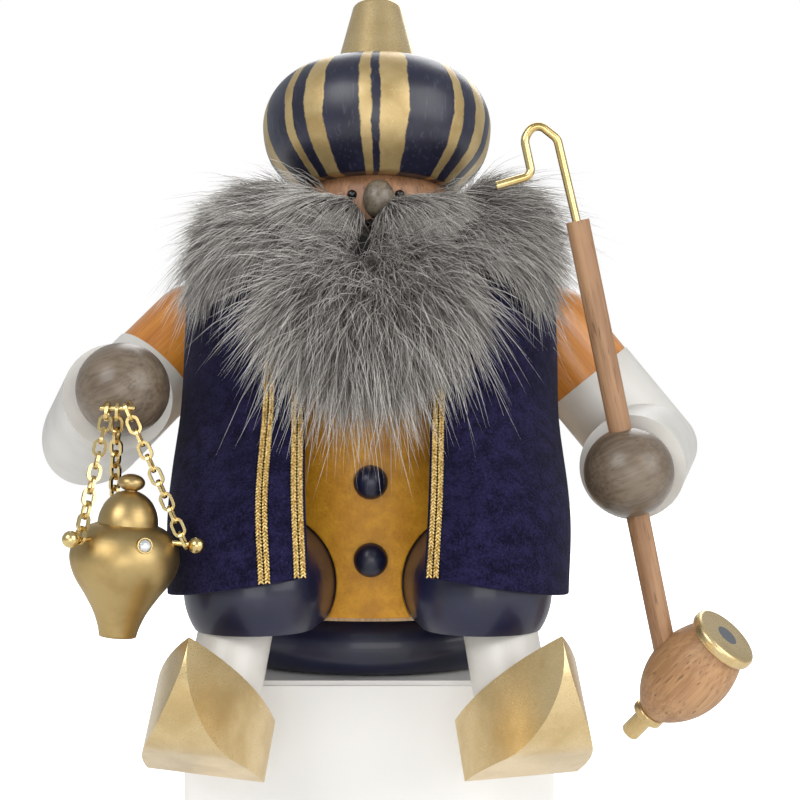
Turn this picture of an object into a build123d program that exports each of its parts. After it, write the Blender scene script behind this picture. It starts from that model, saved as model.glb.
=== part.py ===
from build123d import *
from math import atan2, cos, degrees, radians, sin, sqrt, tan
import os

# Seated incense smoker: a turned figure in a felt coat that sits on the edge of a shelf.
# Millimetres, +Z up. The figure looks along -Y, and side -1 is the one with the censer.
# Origin: centre of the seat base's underside, so the shoes hang below Z = 0.

os.makedirs("parts", exist_ok=True)

LOW = (Align.CENTER, Align.CENTER, Align.MIN)
HIGH = (Align.CENTER, Align.CENTER, Align.MAX)
MIDDLE = (Align.CENTER, Align.CENTER, Align.CENTER)
QUARTER = 90.0
SIDES = {-1: "left", 1: "right"}

# Fits shared by all pieces
glue_gap = 0.02
turn_fit = 0.06
soft_gap = 0.35
overrun = 1.5

# Seat base, incense plate and its nail
base_r = 32.0
base_h = 10.5
base_edge_share = 0.47
plug_h = 3.0
plug_edge = 0.6
plate_r = 10.5
plate_t = 0.5
plate_rim_h = 1.8
nail_shank_r = 0.7
nail_head_r = 1.8
nail_head_h = 0.8
nail_len = 7.0

# Torso
torso_r = 32.5
torso_wall = 6.5
torso_top_z = 76.0
shoulder_start_z = 60.0
neck_seat_r = 12.6
chamber_roof = 9.0
spigot_r = 6.8
spigot_h = 2.4
smoke_r = 3.7
draught_r = 3.6
draught_z = 19.5

# Head
head_r = 15.2
head_z = 86.5
head_shift = 0.9
mouth_r = 3.0
mouth_z = 81.4
spigot_clear = 0.2
channel_over = 1.2
nose_r = 3.05
nose_h = 7.5
nose_z = 88.0
nose_off = 0.6
nose_stand = 1.2
nose_peg_r = 0.9
nose_peg_len = 4.0
eye_r = 0.95
eye_z = 89.1
eye_apart = 9.1

# Turban and finial
turban_r = 22.7
turban_z = 103.9
turban_up = 12.3
turban_rim_r = 15.4
turban_rim_drop = 12.9
turban_tilt = 8.0
turban_up_shares = ((0.62, 0.955), (0.87, 0.78), (0.985, 0.44), (1.0, 0.0))
turban_down_shares = ((0.93, 0.52),)
finial_seat_r = 8.6
finial_low_r = 8.3
finial_top_r = 4.7
finial_h = 13.9
finial_round = 1.5
peg_r = 1.9
peg_len = 6.0

# Thighs
thigh_r = 12.1
thigh_z = 17.4
thigh_x = 19.5
thigh_splay = 8.0
thigh_straight = 42.0
thigh_dome = 12.0
thigh_root = 16.0
hip_dowel_r = 2.5
hip_dowel_in = 4.0
hip_dowel_len = 11.0

# Lower legs and shoes
leg_r = 6.35
leg_x = 22.6
leg_y = 42.8
lean_out = 9.0
lean_forward = 26.0
leg_in_thigh = 4.0
leg_show = 13.4
leg_in_shoe = 6.0
shoe_len = 28.0
shoe_w = 20.4
shoe_heel_h = 10.4
shoe_toe_h = 15.4
shoe_toe_t = 0.6
shoe_toe_angles = {-1: 8.0, 1: 17.0}
shoe_seat = 7.4
shoe_shift = 2.1
shoe_flat_share = 0.50
shoe_bow_share = 0.74

# Arms and hands: the upper arm hangs out and forward, the forearm turns in and rises
arm_r = 9.3
sleeve_r = 9.55
shoulder_stand = 2.7
shoulder_y = -3.0
shoulder_z = 63.6
seam_share = 0.40
arm_dowel_r = 2.2
arm_dowel_in = 4.0
arm_dowel_len = 10.0
left_upper_len = 27.8
right_upper_len = 29.6
left_fore_len = 26.7
right_fore_len = 24.4
upper_out_angles = {-1: 41.9, 1: 39.1}
upper_fore_angles = {-1: 22.2, 1: 3.9}
fore_in_angles = {-1: 19.5, 1: 15.1}
fore_rise_angles = {-1: 13.4, 1: -6.8}
hand_r = 8.0
hand_stand = 5.2
wrist_dowel_r = 1.9
wrist_dowel_in = 5.0

# Coat of felt: at each level the inner edge, middle and outer edge of a front panel, and the
# back's half width, edge, level and middle, in shares of the torso's radius and of its height
felt_t = 1.0
coat_front_shares = (
    ((0.295, -1.677, 0.274), (0.646, -1.695, 0.245), (1.040, -0.985, 0.205)),
    ((0.320, -1.538, 0.434), (0.695, -1.545, 0.424), (1.045, -0.831, 0.408)),
    ((0.338, -1.255, 0.658), (0.757, -1.151, 0.658), (1.045, -0.631, 0.658)),
    ((0.369, -1.114, 0.855), (0.769, -0.954, 0.855), (1.045, -0.523, 0.855)),
    ((0.462, -0.892, 1.007), (0.775, -0.782, 1.013), (1.045, -0.449, 1.020)),
    ((0.523, -0.431, 1.087), (0.800, -0.406, 1.087), (1.045, -0.308, 1.079)),
    ((0.523, -0.009, 1.110), (0.800, -0.009, 1.113), (1.045, -0.009, 1.100)),
)
coat_back_shares = (
    (1.045, 0.554, 0.355, 1.138),
    (1.045, 0.477, 0.658, 1.095),
    (1.045, 0.449, 0.855, 1.065),
    (1.045, 0.418, 1.007, 0.911),
    (1.045, 0.246, 1.082, 0.431),
)
back_crest_shares = (1.045, 0.009, 1.105)
neck_hole_gap = 1.6

# Vest, buttons and braids
vest_t = 0.9
vest_half_w = 15.5
vest_top_z = 60.0
vest_bottom_z = 11.2
button_r = 3.05
button_h = 2.5
button_zs = (35.4, 21.6)
button_x = 0.3
button_peg_r = 0.7
button_peg_len = 3.5
braid_w = 1.9
braid_t = 0.45
braid_stand = 0.05
braid_levels = 4
edge_braid_share = 0.037
outer_braid_share = 0.21

# Fur: half sizes and centres of the soft masses, in shares of the head's radius from its centre,
# and the beard's level, reach and two half widths, in shares of the torso's height and radius
felt_clear = 3.0
side_fur_shares = (0.82, 1.02, 1.22)
side_fur_place_shares = (1.61, -0.76, -0.49)
nape_fur_shares = (1.58, 0.59, 0.92)
nape_fur_place_shares = (0.0, 1.25, -0.16)
tache_fur_shares = (0.55, 0.50, 0.60)
tache_fur_place_shares = (0.80, -1.35, -0.46)
fur_level_shares = ((-1.0, 0.34), (-0.68, 0.78), (0.0, 1.0), (0.68, 0.78), (1.0, 0.34))
beard_shares = (
    (1.020, -0.754, 0.615, 0.246),
    (0.908, -1.138, 0.677, 0.231),
    (0.789, -1.342, 0.683, 0.222),
    (0.684, -1.446, 0.628, 0.197),
    (0.605, -1.520, 0.418, 0.148),
    (0.561, -1.557, 0.185, 0.080),
)
face_open_r = 13.0
mouth_way = 6.4

# Censer
chain_wire = 0.5
chain_slack = 0.05
chain_links = 11
link_w = 2.3
bar_out = 10.2
bar_below = 3.2
bar_shift = 1.0
bar_half = 2.6
bar_r = 0.4
staple_in = 3.4
jar_hang = 37.5
jar_lean = 5.3
jar_h = 18.5
jar_r = 9.0
lid_r = 4.95
lid_h = 5.6
lid_neck_r = 1.0
knob_r = 2.2
knob_half_h = 1.45
knob_sink = 0.2
pin_r = 0.42
pin_ball_r = 1.38
pin_reach = 11.9
pin_in = 4.0
pin_z = 16.2
pin_angles = (-127.0, -7.0, 113.0)
stone_r = 1.35
stone_up = 14.8
stone_angle = 31.0
stone_sink_share = 0.45
chain_words = ("front", "right", "rear")
chain_hang_shares = (-0.58, 0.58, 0.0)
jar_shares = (
    (0.30, 0.0), (0.385, 0.07), (0.48, 0.21), (0.87, 0.465), (1.0, 0.665), (0.84, 0.85), (0.54, 1.0),
)

# Pipe
stem_r = 2.05
stem_up_len = 45.4
stem_down_len = 36.4
stem_in_lean = 12.35
stem_fore_lean = 5.8
wire_r = 0.75
wire_in = 6.0
wire_shares = ((2.11, 0.60), (1.86, 0.80), (1.73, 0.60), (1.82, 0.18), (1.41, 0.06))
wire_bend_shares = (2.9, 2.5, 3.2, 1.9)
bowl_out = 2.7
bowl_ahead = 1.1
bowl_below = 1.6
bowl_out_tilt = 38.4
bowl_fore_tilt = 24.1
bowl_r = 7.0
bowl_len = 18.6
bowl_foot_r = 2.7
bowl_mouth_r = 5.3
bowl_belly_share = 0.15
rim_r = 6.25
rim_t = 2.3
rim_edge = 0.9
insert_r = 2.0
insert_t = 0.8
collar_r = 3.0
collar_t = 1.7
nipple_r = 1.75
nipple_len = 4.9
nipple_edge = 0.5


# Helpers


def vec(x, y, z):
    return Vector(x, y, z)


def heading(side, out, fore, up=1):
    """Direction turned out to a side and forward from straight up, or down where up is -1."""
    out = radians(out)
    fore = radians(fore)
    return vec(side * sin(out) * cos(fore), -sin(fore), up * cos(out) * cos(fore))


def along(start, axis):
    """Frame at start whose Z runs along axis."""
    return Plane(origin=start, z_dir=axis)


def rod(start, end, radius):
    """Round bar between two points."""
    return along(start, end - start) * Cylinder(radius, (end - start).length, align=LOW)


def turned(*edges):
    """Solid turned about Z from edges drawn as (radius, height), closed along the axis."""
    return revolve(Plane.XZ * make_face(Curve() + list(edges)), Axis.Z)


def half_turned(radius, low, high):
    """Egg turned about Z, with its widest ring at height 0."""
    return turned(
        EllipticalCenterArc((0, 0), radius, high, 0),
        EllipticalCenterArc((0, 0), radius, low, -QUARTER),
        Line((0, -low), (0, high)),
    )


def soft_mass(half_sizes, centre):
    """Soft lump with three half sizes."""
    return Pos(*centre) * scale(Sphere(1), by=half_sizes)


def largest(shape):
    return max(shape.solids(), key=lambda solid: solid.volume)


def save(shape, name):
    solids = shape.solids()
    export_step(Compound(children=solids) if len(solids) > 1 else solids[0], f"parts/{name}.step")


# Seat base with its plug, incense plate and plate nail

plug_r = torso_r - torso_wall - turn_fit
plug_top = base_h + plug_h
nail_seat = plug_top + plate_t


def seat_base():
    disc = Cylinder(base_r, base_h, align=LOW)
    disc = fillet(disc.edges().filter_by(GeomType.CIRCLE), base_h * base_edge_share)
    plug = Pos(0, 0, base_h) * Cylinder(plug_r, plug_h, align=LOW)
    plug = chamfer(plug.edges().filter_by(GeomType.CIRCLE).sort_by(Axis.Z)[-1], plug_edge)
    hole = Pos(0, 0, nail_seat) * Cylinder(nail_shank_r + glue_gap, nail_len, align=HIGH)
    return disc + plug - hole


def incense_plate():
    dish = Cylinder(plate_r, plate_rim_h, align=LOW)
    hollow = Pos(0, 0, plate_t) * Cylinder(plate_r - plate_t, plate_rim_h, align=LOW)
    hole = Cylinder(nail_shank_r + glue_gap, plate_rim_h, align=MIDDLE)
    return Pos(0, 0, plug_top) * (dish - hollow - hole)


def plate_nail():
    shank = Cylinder(nail_shank_r, nail_len - glue_gap, align=HIGH)
    head = half_turned(nail_head_r, glue_gap, nail_head_h) & Cylinder(nail_head_r, nail_head_h, align=LOW)
    return Pos(0, 0, nail_seat) * (shank + head)


# Torso: hollow smoke chamber, neck spigot with the smoke channel, draught hole at the back


def torso_body(gap=0):
    """Filled outer form of the torso, grown by a gap."""
    side = torso_r + gap
    return turned(
        Line((0, base_h), (side, base_h)),
        Line((side, base_h), (side, shoulder_start_z)),
        EllipticalCenterArc(
            (neck_seat_r, shoulder_start_z),
            side - neck_seat_r, torso_top_z + gap - shoulder_start_z, 0,
        ),
        Line((neck_seat_r, torso_top_z + gap), (0, torso_top_z + gap)),
        Line((0, torso_top_z + gap), (0, base_h)),
    )


def chamber():
    """Smoke chamber and channel, open below."""
    bore = torso_r - torso_wall
    spring = shoulder_start_z - torso_wall / 2
    roof = torso_top_z - chamber_roof
    return turned(
        Line((0, base_h - overrun), (bore, base_h - overrun)),
        Line((bore, base_h - overrun), (bore, spring)),
        EllipticalCenterArc((smoke_r, spring), bore - smoke_r, roof - spring, 0),
        Line((smoke_r, roof), (smoke_r, torso_top_z + spigot_h + overrun)),
        Line((smoke_r, torso_top_z + spigot_h + overrun), (0, torso_top_z + spigot_h + overrun)),
        Line((0, torso_top_z + spigot_h + overrun), (0, base_h - overrun)),
    )


def torso():
    spigot = Pos(0, 0, torso_top_z) * Cylinder(spigot_r, spigot_h, align=LOW)
    draught = rod(
        vec(0, torso_r - torso_wall - overrun, draught_z),
        vec(0, torso_r + overrun, draught_z), draught_r,
    )
    body = torso_body() + spigot - chamber() - draught
    for peg in [hip_dowel(side, glue_gap) for side in SIDES] + [arm_dowel(side, glue_gap) for side in SIDES]:
        body -= peg
    for height in button_zs:
        body -= button_peg(height, glue_gap)
    return body


# Thighs: cylinders with domed ends, cut flat underneath and coped to the torso

flat_z = base_h + soft_gap


def thigh_axis(side):
    """Root, direction and place where the axis meets the torso."""
    turn = radians(thigh_splay)
    direction = vec(side * sin(turn), -cos(turn), 0)
    knee = vec(side * thigh_x, -thigh_straight, thigh_z)
    root = knee - direction * (thigh_straight - thigh_root)
    reach = -root.X * direction.X - root.Y * direction.Y
    inside = root.X ** 2 + root.Y ** 2 - torso_r ** 2
    contact = root + direction * (reach + sqrt(reach ** 2 - inside))
    return root, direction, knee, contact


def hip_dowel(side, gap=0):
    root, direction, knee, contact = thigh_axis(side)
    start = contact - direction * (hip_dowel_in + gap)
    return rod(start, start + direction * (hip_dowel_len + gap + gap), hip_dowel_r + gap)


def thigh_body(side, gap=0):
    root, direction, knee, contact = thigh_axis(side)
    straight = (knee - root).length
    radius = thigh_r + gap
    body = turned(
        Line((0, 0), (radius, 0)),
        Line((radius, 0), (radius, straight)),
        EllipticalCenterArc((0, straight), radius, thigh_dome + gap, 0),
        Line((0, straight + thigh_dome + gap), (0, 0)),
    )
    body = Plane(origin=root, x_dir=(0, 0, 1), z_dir=direction) * body
    below = Pos(0, -thigh_straight, flat_z - gap) * Box(
        base_r * 4, thigh_straight * 4, thigh_r * 2, align=HIGH)
    return body - below


def thigh(side):
    body = thigh_body(side) - torso_body(glue_gap)
    return body - hip_dowel(side, glue_gap) - lower_leg(side, glue_gap)


# Lower legs lean forward and outward, and stand square on the shoes


def leg_axis(side):
    top = vec(side * leg_x, -leg_y, flat_z)
    down = vec(side * tan(radians(lean_out)), -tan(radians(lean_forward)), -1).normalized()
    return top, down


def lower_leg(side, gap=0):
    top, down = leg_axis(side)
    return rod(top - down * (leg_in_thigh + gap), top + down * (leg_show + leg_in_shoe + gap), leg_r + gap)


def shoe_frame(side):
    """Heel centre on the sole, with Y to the toe and Z up the leg."""
    top, down = leg_axis(side)
    up = down * -1
    turn = radians(shoe_toe_angles[side])
    ahead = vec(side * sin(turn), -cos(turn), 0)
    ahead = (ahead - up * ahead.dot(up)).normalized()
    across = ahead.cross(up)
    sole = top + down * (leg_show + shoe_heel_h)
    heel = sole - ahead * shoe_seat - across * (side * shoe_shift)
    return Plane(origin=heel, x_dir=across, z_dir=up)


def shoe(side):
    frame = shoe_frame(side)
    half = shoe_w / 2
    bow = half * shoe_bow_share
    half_way = shoe_len / 2
    flat = shoe_len * shoe_flat_share
    plan = make_face(Curve() + [
        Line((-half, 0), (half, 0)),
        ThreePointArc((half, 0), (bow, half_way), (0, shoe_len)),
        ThreePointArc((0, shoe_len), (-bow, half_way), (-half, 0)),
    ])
    block = extrude(plan, shoe_toe_h)
    profile = make_face(Curve() + [
        Line((0, 0), (flat, 0)),
        EllipticalCenterArc((flat, shoe_toe_h - shoe_toe_t), shoe_len - flat,
                            shoe_toe_h - shoe_toe_t, -QUARTER),
        Line((shoe_len, shoe_toe_h - shoe_toe_t), (shoe_len, shoe_toe_h)),
        Line((shoe_len, shoe_toe_h), (0, shoe_heel_h)),
        Line((0, shoe_heel_h), (0, 0)),
    ])
    side_view = Plane(origin=(-shoe_w, 0, 0), x_dir=(0, 1, 0), z_dir=(1, 0, 0))
    body = block & extrude(side_view * profile, shoe_w * 2)
    return frame * body - lower_leg(side, glue_gap)


# Arms: a domed upper arm, a sleeve mitred at the elbow and a ball hand in the forearm's end


upper_lens = {-1: left_upper_len, 1: right_upper_len}
fore_lens = {-1: left_fore_len, 1: right_fore_len}


def shoulder(side):
    return vec(side * (torso_r + shoulder_stand), shoulder_y, shoulder_z)


def arm_points(side):
    """Shoulder, elbow and wrist."""
    top = shoulder(side)
    elbow = top + heading(side, upper_out_angles[side], upper_fore_angles[side], -1) * upper_lens[side]
    turn = radians(fore_in_angles[side])
    rise = radians(fore_rise_angles[side])
    onward = vec(-side * sin(turn) * cos(rise), -cos(turn) * cos(rise), sin(rise))
    return top, elbow, elbow + onward * fore_lens[side]


def arm_dowel(side, gap=0):
    inner = vec(side * (torso_r - arm_dowel_in - gap), shoulder_y, shoulder_z)
    return rod(inner, inner + vec(side * (arm_dowel_len + gap + gap), 0, 0), arm_dowel_r + gap)


def seam_point(side):
    top, elbow, wrist = arm_points(side)
    return top + (elbow - top) * seam_share


def upper_arm(side):
    top, elbow, wrist = arm_points(side)
    body = rod(top, seam_point(side), arm_r) + Pos(*top) * Sphere(arm_r)
    return body - torso_body(glue_gap) - arm_dowel(side, glue_gap)


def mitre(side, gap):
    """Half space beyond the elbow's mitre, on the forearm's side."""
    top, elbow, wrist = arm_points(side)
    normal = ((wrist - elbow).normalized() + (elbow - top).normalized()).normalized()
    size = (wrist - top).length * 2
    return along(elbow + normal * gap, normal) * Box(size, size, size, align=LOW)


def sleeve(side):
    top, elbow, wrist = arm_points(side)
    onward = (elbow - top).normalized()
    start = seam_point(side) + onward * glue_gap
    body = rod(start, elbow + onward * (sleeve_r * 2), sleeve_r)
    return body - mitre(side, 0)


def forearm(side):
    top, elbow, wrist = arm_points(side)
    onward = (wrist - elbow).normalized()
    body = rod(elbow - onward * (sleeve_r * 2), wrist, sleeve_r)
    body = body & mitre(side, glue_gap)
    return body - Pos(*hand_centre(side)) * Sphere(hand_r + glue_gap) - wrist_dowel(side, glue_gap)


def hand_centre(side):
    top, elbow, wrist = arm_points(side)
    return wrist + (wrist - elbow).normalized() * hand_stand


def wrist_dowel(side, gap=0):
    top, elbow, wrist = arm_points(side)
    onward = (wrist - elbow).normalized()
    centre = hand_centre(side)
    end = centre - onward * (hand_r - wrist_dowel_in - gap)
    return rod(centre - onward * (hand_r + wrist_dowel_in + gap), end, wrist_dowel_r + gap)


def stem_ends():
    """Top and low end of the pipe's stem, which runs through the hand's centre."""
    centre = hand_centre(1)
    direction = heading(-1, stem_in_lean, stem_fore_lean)
    return centre + direction * stem_up_len, centre - direction * stem_down_len


def stem_rod(gap=0):
    top, low = stem_ends()
    return rod(low, top, stem_r + gap)


def hand(side):
    body = Pos(*hand_centre(side)) * Sphere(hand_r) - wrist_dowel(side, glue_gap)
    if side > 0:
        return body - stem_rod(turn_fit)
    return body - staple(glue_gap)


# Head ball with the smoke channel, mouth bore, nose and eyes

head_centre = vec(head_shift, 0, head_z)


def head_ball(gap=0):
    return Pos(*head_centre) * Sphere(head_r + gap)


def on_head(offset_x, height, radius):
    """Point in front at a distance from the head's centre."""
    dz = height - head_z
    return vec(head_shift + offset_x, -sqrt(radius ** 2 - offset_x ** 2 - dz ** 2), height)


nose_centre = on_head(nose_off, nose_z, head_r + nose_stand)
eye_centres = [on_head(side * eye_apart / 2, eye_z, head_r) for side in SIDES]


def nose_peg(gap=0):
    back = nose_centre + vec(0, nose_r + nose_peg_len + gap, 0)
    return rod(nose_centre, back, nose_peg_r + gap)


def head():
    neck_z = torso_top_z + glue_gap
    body = head_ball() - Pos(0, 0, neck_z) * Box(head_r * 3, head_r * 3, head_r, align=HIGH)
    socket = Pos(0, 0, neck_z - overrun) * Cylinder(
        spigot_r + glue_gap, overrun + spigot_h + spigot_clear, align=LOW)
    channel = rod(vec(0, 0, torso_top_z), vec(0, 0, mouth_z + mouth_r + channel_over), smoke_r)
    mouth = rod(vec(0, 0, mouth_z), vec(0, -head_r - overrun, mouth_z), mouth_r)
    body = body - socket - channel - mouth - nose_peg(glue_gap) - turban_peg_hole()
    for centre in eye_centres:
        body -= Pos(*centre) * Sphere(eye_r + glue_gap)
    return body


def nose():
    bean = soft_mass((nose_r, nose_r, nose_h / 2), nose_centre)
    return bean - head_ball(glue_gap) + nose_peg()


def eyes():
    return Compound(children=[Pos(*centre) * Sphere(eye_r) for centre in eye_centres])


# Turban, its gold finial and the peg that runs through the turban into the head

turban_at = Pos(head_shift, 0, turban_z) * Rot(-turban_tilt, 0, 0)
turban_peg_low = head_z + head_r - turban_z - peg_len / 2


def turban_body(gap=0):
    """Filled turned form of the turban, grown by a gap at its side and rim."""
    wide = turban_r + gap
    drop = turban_rim_drop + gap
    side = [(finial_seat_r, turban_up)] + [(wide * out, turban_up * up) for out, up in turban_up_shares]
    side += [(wide * out, -drop * down) for out, down in turban_down_shares]
    side += [(turban_rim_r + gap, -drop)]
    return turned(
        Line((0, turban_up), side[0]), Spline(*side),
        Line(side[-1], (0, -drop)), Line((0, -drop), (0, turban_up)),
    )


def turban_peg_hole():
    return turban_at * Pos(0, 0, turban_peg_low - glue_gap) * Cylinder(peg_r + glue_gap, peg_len, align=LOW)


def turban():
    pin_hole = Pos(0, 0, turban_up - peg_len / 2 - glue_gap) * Cylinder(
        peg_r + glue_gap, peg_len, align=LOW)
    return turban_at * (turban_body() - pin_hole) - head_ball(glue_gap) - turban_peg_hole()


def turban_peg():
    return turban_at * Pos(0, 0, turban_peg_low) * Cylinder(peg_r, peg_len - glue_gap - glue_gap, align=LOW)


def finial():
    cone = Pos(0, 0, glue_gap) * Cone(finial_low_r, finial_top_r, finial_h, align=LOW)
    cone = fillet(cone.edges().filter_by(GeomType.CIRCLE).sort_by(Axis.Z)[-1], finial_round)
    pin = Pos(0, 0, glue_gap) * Cylinder(peg_r, peg_len / 2, align=HIGH)
    return turban_at * Pos(0, 0, turban_up) * (cone + pin)


# Coat: two front panels and a back, lofted between the levels they hang through


def strip_face(points, low, high):
    """Thin curved face through three points, from low to high off its line, outwards."""
    first, middle, last = points
    chord = last - first
    normal = chord.cross(middle - first)
    if normal.length < glue_gap:
        normal = chord.cross(vec(0, 1, 0))
    normal = normal.normalized()
    outward = chord.cross(normal).normalized()
    if outward.dot(vec(0, -1, 1) if middle.Y < glue_gap else vec(0, 1, 1)) < 0:
        outward = outward * -1
    fan = (middle - (first + last) * 0.5).dot(outward) / chord.length
    lean = chord.normalized() * fan
    shifts = [(outward - lean), outward, (outward + lean)]
    near = [point + shift * low for point, shift in zip(points, shifts)]
    far = [point + shift * high for point, shift in zip(points, shifts)]
    return Face(Wire([
        Edge.make_three_point_arc(*near), Edge.make_line(near[2], far[2]),
        Edge.make_three_point_arc(far[2], far[1], far[0]), Edge.make_line(far[0], near[0]),
    ]))


def front_rows(side):
    return [[vec(side * torso_r * x, torso_r * y, torso_top_z * z) for x, y, z in level]
            for level in coat_front_shares]


def coat_front(side, low=0, high=felt_t):
    return loft([strip_face(row, low, high) for row in front_rows(side)], ruled=True)


def back_row(x, y, z, middle, rise=0):
    return [vec(-torso_r * x, torso_r * y, torso_top_z * z),
            vec(0, torso_r * middle, torso_top_z * z + rise),
            vec(torso_r * x, torso_r * y, torso_top_z * z)]


def back_rows():
    x, y, z = back_crest_shares
    return [back_row(*level) for level in coat_back_shares] + [back_row(x, y, z, y, glue_gap)]


def coat_back(low=0, high=felt_t):
    sheet = loft([strip_face(row, low, high) for row in back_rows()], ruled=True)
    neck = Pos(0, 0, torso_top_z) * Cylinder(head_r + neck_hole_gap, torso_top_z, align=LOW)
    return sheet - neck


# Vest of leather round the torso's front, cut round the thighs, with two turned buttons


def vest():
    inner = torso_r + soft_gap
    ring = Cylinder(inner + vest_t, vest_top_z - vest_bottom_z, align=LOW)
    ring -= Cylinder(inner, vest_top_z - vest_bottom_z, align=LOW)
    front = Pos(0, -torso_r, 0) * Box(vest_half_w * 2, torso_r, vest_top_z, align=LOW)
    sheet = Pos(0, 0, vest_bottom_z) * (ring & front)
    for side in SIDES:
        sheet -= thigh_body(side, soft_gap)
    for height in button_zs:
        sheet -= button_peg(height, glue_gap)
    return largest(sheet)


def button_face():
    return -(torso_r + soft_gap + vest_t)


def button_peg(height, gap=0):
    front = vec(button_x, button_face() - button_h / 2, height)
    return rod(front, front + vec(0, button_h / 2 + vest_t + soft_gap + button_peg_len + gap, 0),
               button_peg_r + gap)


def button(height):
    centre = vec(button_x, button_face() - soft_gap / 2, height)
    dome = along(centre, vec(0, -1, 0)) * (scale(Sphere(1), by=(button_r, button_r, button_h)))
    keep = along(centre, vec(0, -1, 0)) * Cylinder(button_r * 2, button_h * 2, align=LOW)
    return (dome & keep) + button_peg(height)


# Braids: strips along the front panels' faces


def braid_face(row, share, gap):
    """Section of a braid at a share of the way along a panel's level line."""
    line = Edge.make_three_point_arc(*row)
    half = (braid_w / 2 + gap) / line.length
    edges = [line @ (share - half), line @ (share + half)]
    chord = edges[1] - edges[0]
    outward = chord.cross((row[2] - row[0]).cross(row[1] - row[0])).normalized()
    if outward.dot(vec(0, -1, 1)) < 0:
        outward = outward * -1
    near, far = felt_t + braid_stand, felt_t + braid_stand + braid_t + gap
    corners = [edges[0] + outward * near, edges[1] + outward * near,
               edges[1] + outward * far, edges[0] + outward * far]
    return Face(Wire.make_polygon(corners, close=True))


def braid(side, share, gap=0):
    rows = front_rows(side)[:braid_levels]
    return loft([braid_face(row, share, gap) for row in rows], ruled=True)


# Fur: soft masses that stay clear of the head, the turban, the arms and the coat


def fur_clear(mass):
    outside = felt_t + braid_t + braid_stand + soft_gap
    for side in SIDES:
        mass -= coat_front(side, -felt_clear, outside)
        mass -= rod(shoulder(side), seam_point(side), arm_r + soft_gap)
        mass -= Pos(*shoulder(side)) * Sphere(arm_r + soft_gap)
    mass -= coat_back(-felt_clear, outside)
    mass -= torso_body(vest_t + soft_gap * 2)
    mass -= head_ball(soft_gap)
    mass -= turban_at * turban_body(soft_gap)
    return largest(mass)


def fur_egg(half_shares, place_shares, side=1, gap=0):
    """Egg of fur with few faces, lofted through level ellipses."""
    half_x, half_y, half_z = [head_r * share + gap for share in half_shares]
    x, y, z = [head_r * share for share in place_shares]
    faces = []
    for up, wide in fur_level_shares:
        level = Plane(origin=(head_shift + side * x, y, head_z + z + half_z * up))
        faces.append(level * make_face(Ellipse(half_x * wide, half_y * wide).edges()))
    return loft(faces, ruled=True)


def side_fur(side, gap=0):
    return fur_egg(side_fur_shares, side_fur_place_shares, side, gap)


def tache_fur(side, gap=0):
    return fur_egg(tache_fur_shares, tache_fur_place_shares, side, gap)


def hair_fur():
    face = rod(vec(head_shift, 0, eye_z), vec(head_shift, -torso_r * 2, eye_z), face_open_r)
    sides = [fur_clear(side_fur(side) - face) for side in SIDES]
    nape = fur_egg(nape_fur_shares, nape_fur_place_shares)
    for side in SIDES:
        nape -= side_fur(side, soft_gap)
    return Compound(children=sides + [fur_clear(nape)])


def moustache_fur():
    halves = []
    for side in SIDES:
        half = tache_fur(side) - Box(mouth_way, torso_r * 4, torso_top_z * 4, align=MIDDLE)
        halves.append(fur_clear(half - side_fur(side, soft_gap)))
    return Compound(children=halves)


def beard_fur():
    faces = []
    for z, y, half_x, half_y in beard_shares:
        level = Plane(origin=(0, torso_r * y, torso_top_z * z))
        faces.append(level * make_face(Ellipse(torso_r * half_x, torso_r * half_y).edges()))
    mass = loft(faces, ruled=True)
    for side in SIDES:
        mass -= braid(side, edge_braid_share, soft_gap)
        mass -= side_fur(side, soft_gap)
        mass -= tache_fur(side, soft_gap)
    return fur_clear(mass)


# Censer: staple in the hand, three link chains, pins, jar, lid and stone

bar_centre = hand_centre(-1) + vec(bar_shift, -bar_out, -bar_below)
jar_at = Pos(*bar_centre) * Pos(0, 0, -jar_hang) * Rot(0, jar_lean, 0)


def staple(gap=0):
    """Bent wire bar with two legs in the hand's ball."""
    radius = bar_r + gap
    centre = hand_centre(-1)
    ends = [bar_centre + vec(side * bar_half, 0, 0) for side in SIDES]
    body = rod(ends[0], ends[1], radius)
    for end in ends:
        inward = (centre - end).normalized()
        body += Pos(*end) * Sphere(radius)
        body += rod(end, end + inward * ((centre - end).length - hand_r + staple_in), radius)
    return body


def pin_line(angle):
    """Start and ball centre of a jar pin."""
    turn = radians(angle)
    ends = [vec(cos(turn) * reach, sin(turn) * reach, pin_z) for reach in (jar_r - pin_in, pin_reach)]
    return [Vector(*(jar_at * Pos(*end)).position) for end in ends]


def censer_pins():
    pins = []
    for angle in pin_angles:
        start, ball = pin_line(angle)
        pins.append(rod(start, ball, pin_r) + Pos(*ball) * Sphere(pin_ball_r))
    return Compound(children=pins)


def link(length):
    """Flat-wired link along Z with its hole along X."""
    outer = SlotOverall(length, link_w)
    inner = SlotOverall(length - chain_wire * 2, link_w - chain_wire * 2)
    ring = extrude(outer - inner, chain_wire / 2, both=True)
    return Plane(origin=(0, 0, 0), x_dir=(0, 0, 1), z_dir=(1, 0, 0)) * ring


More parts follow.
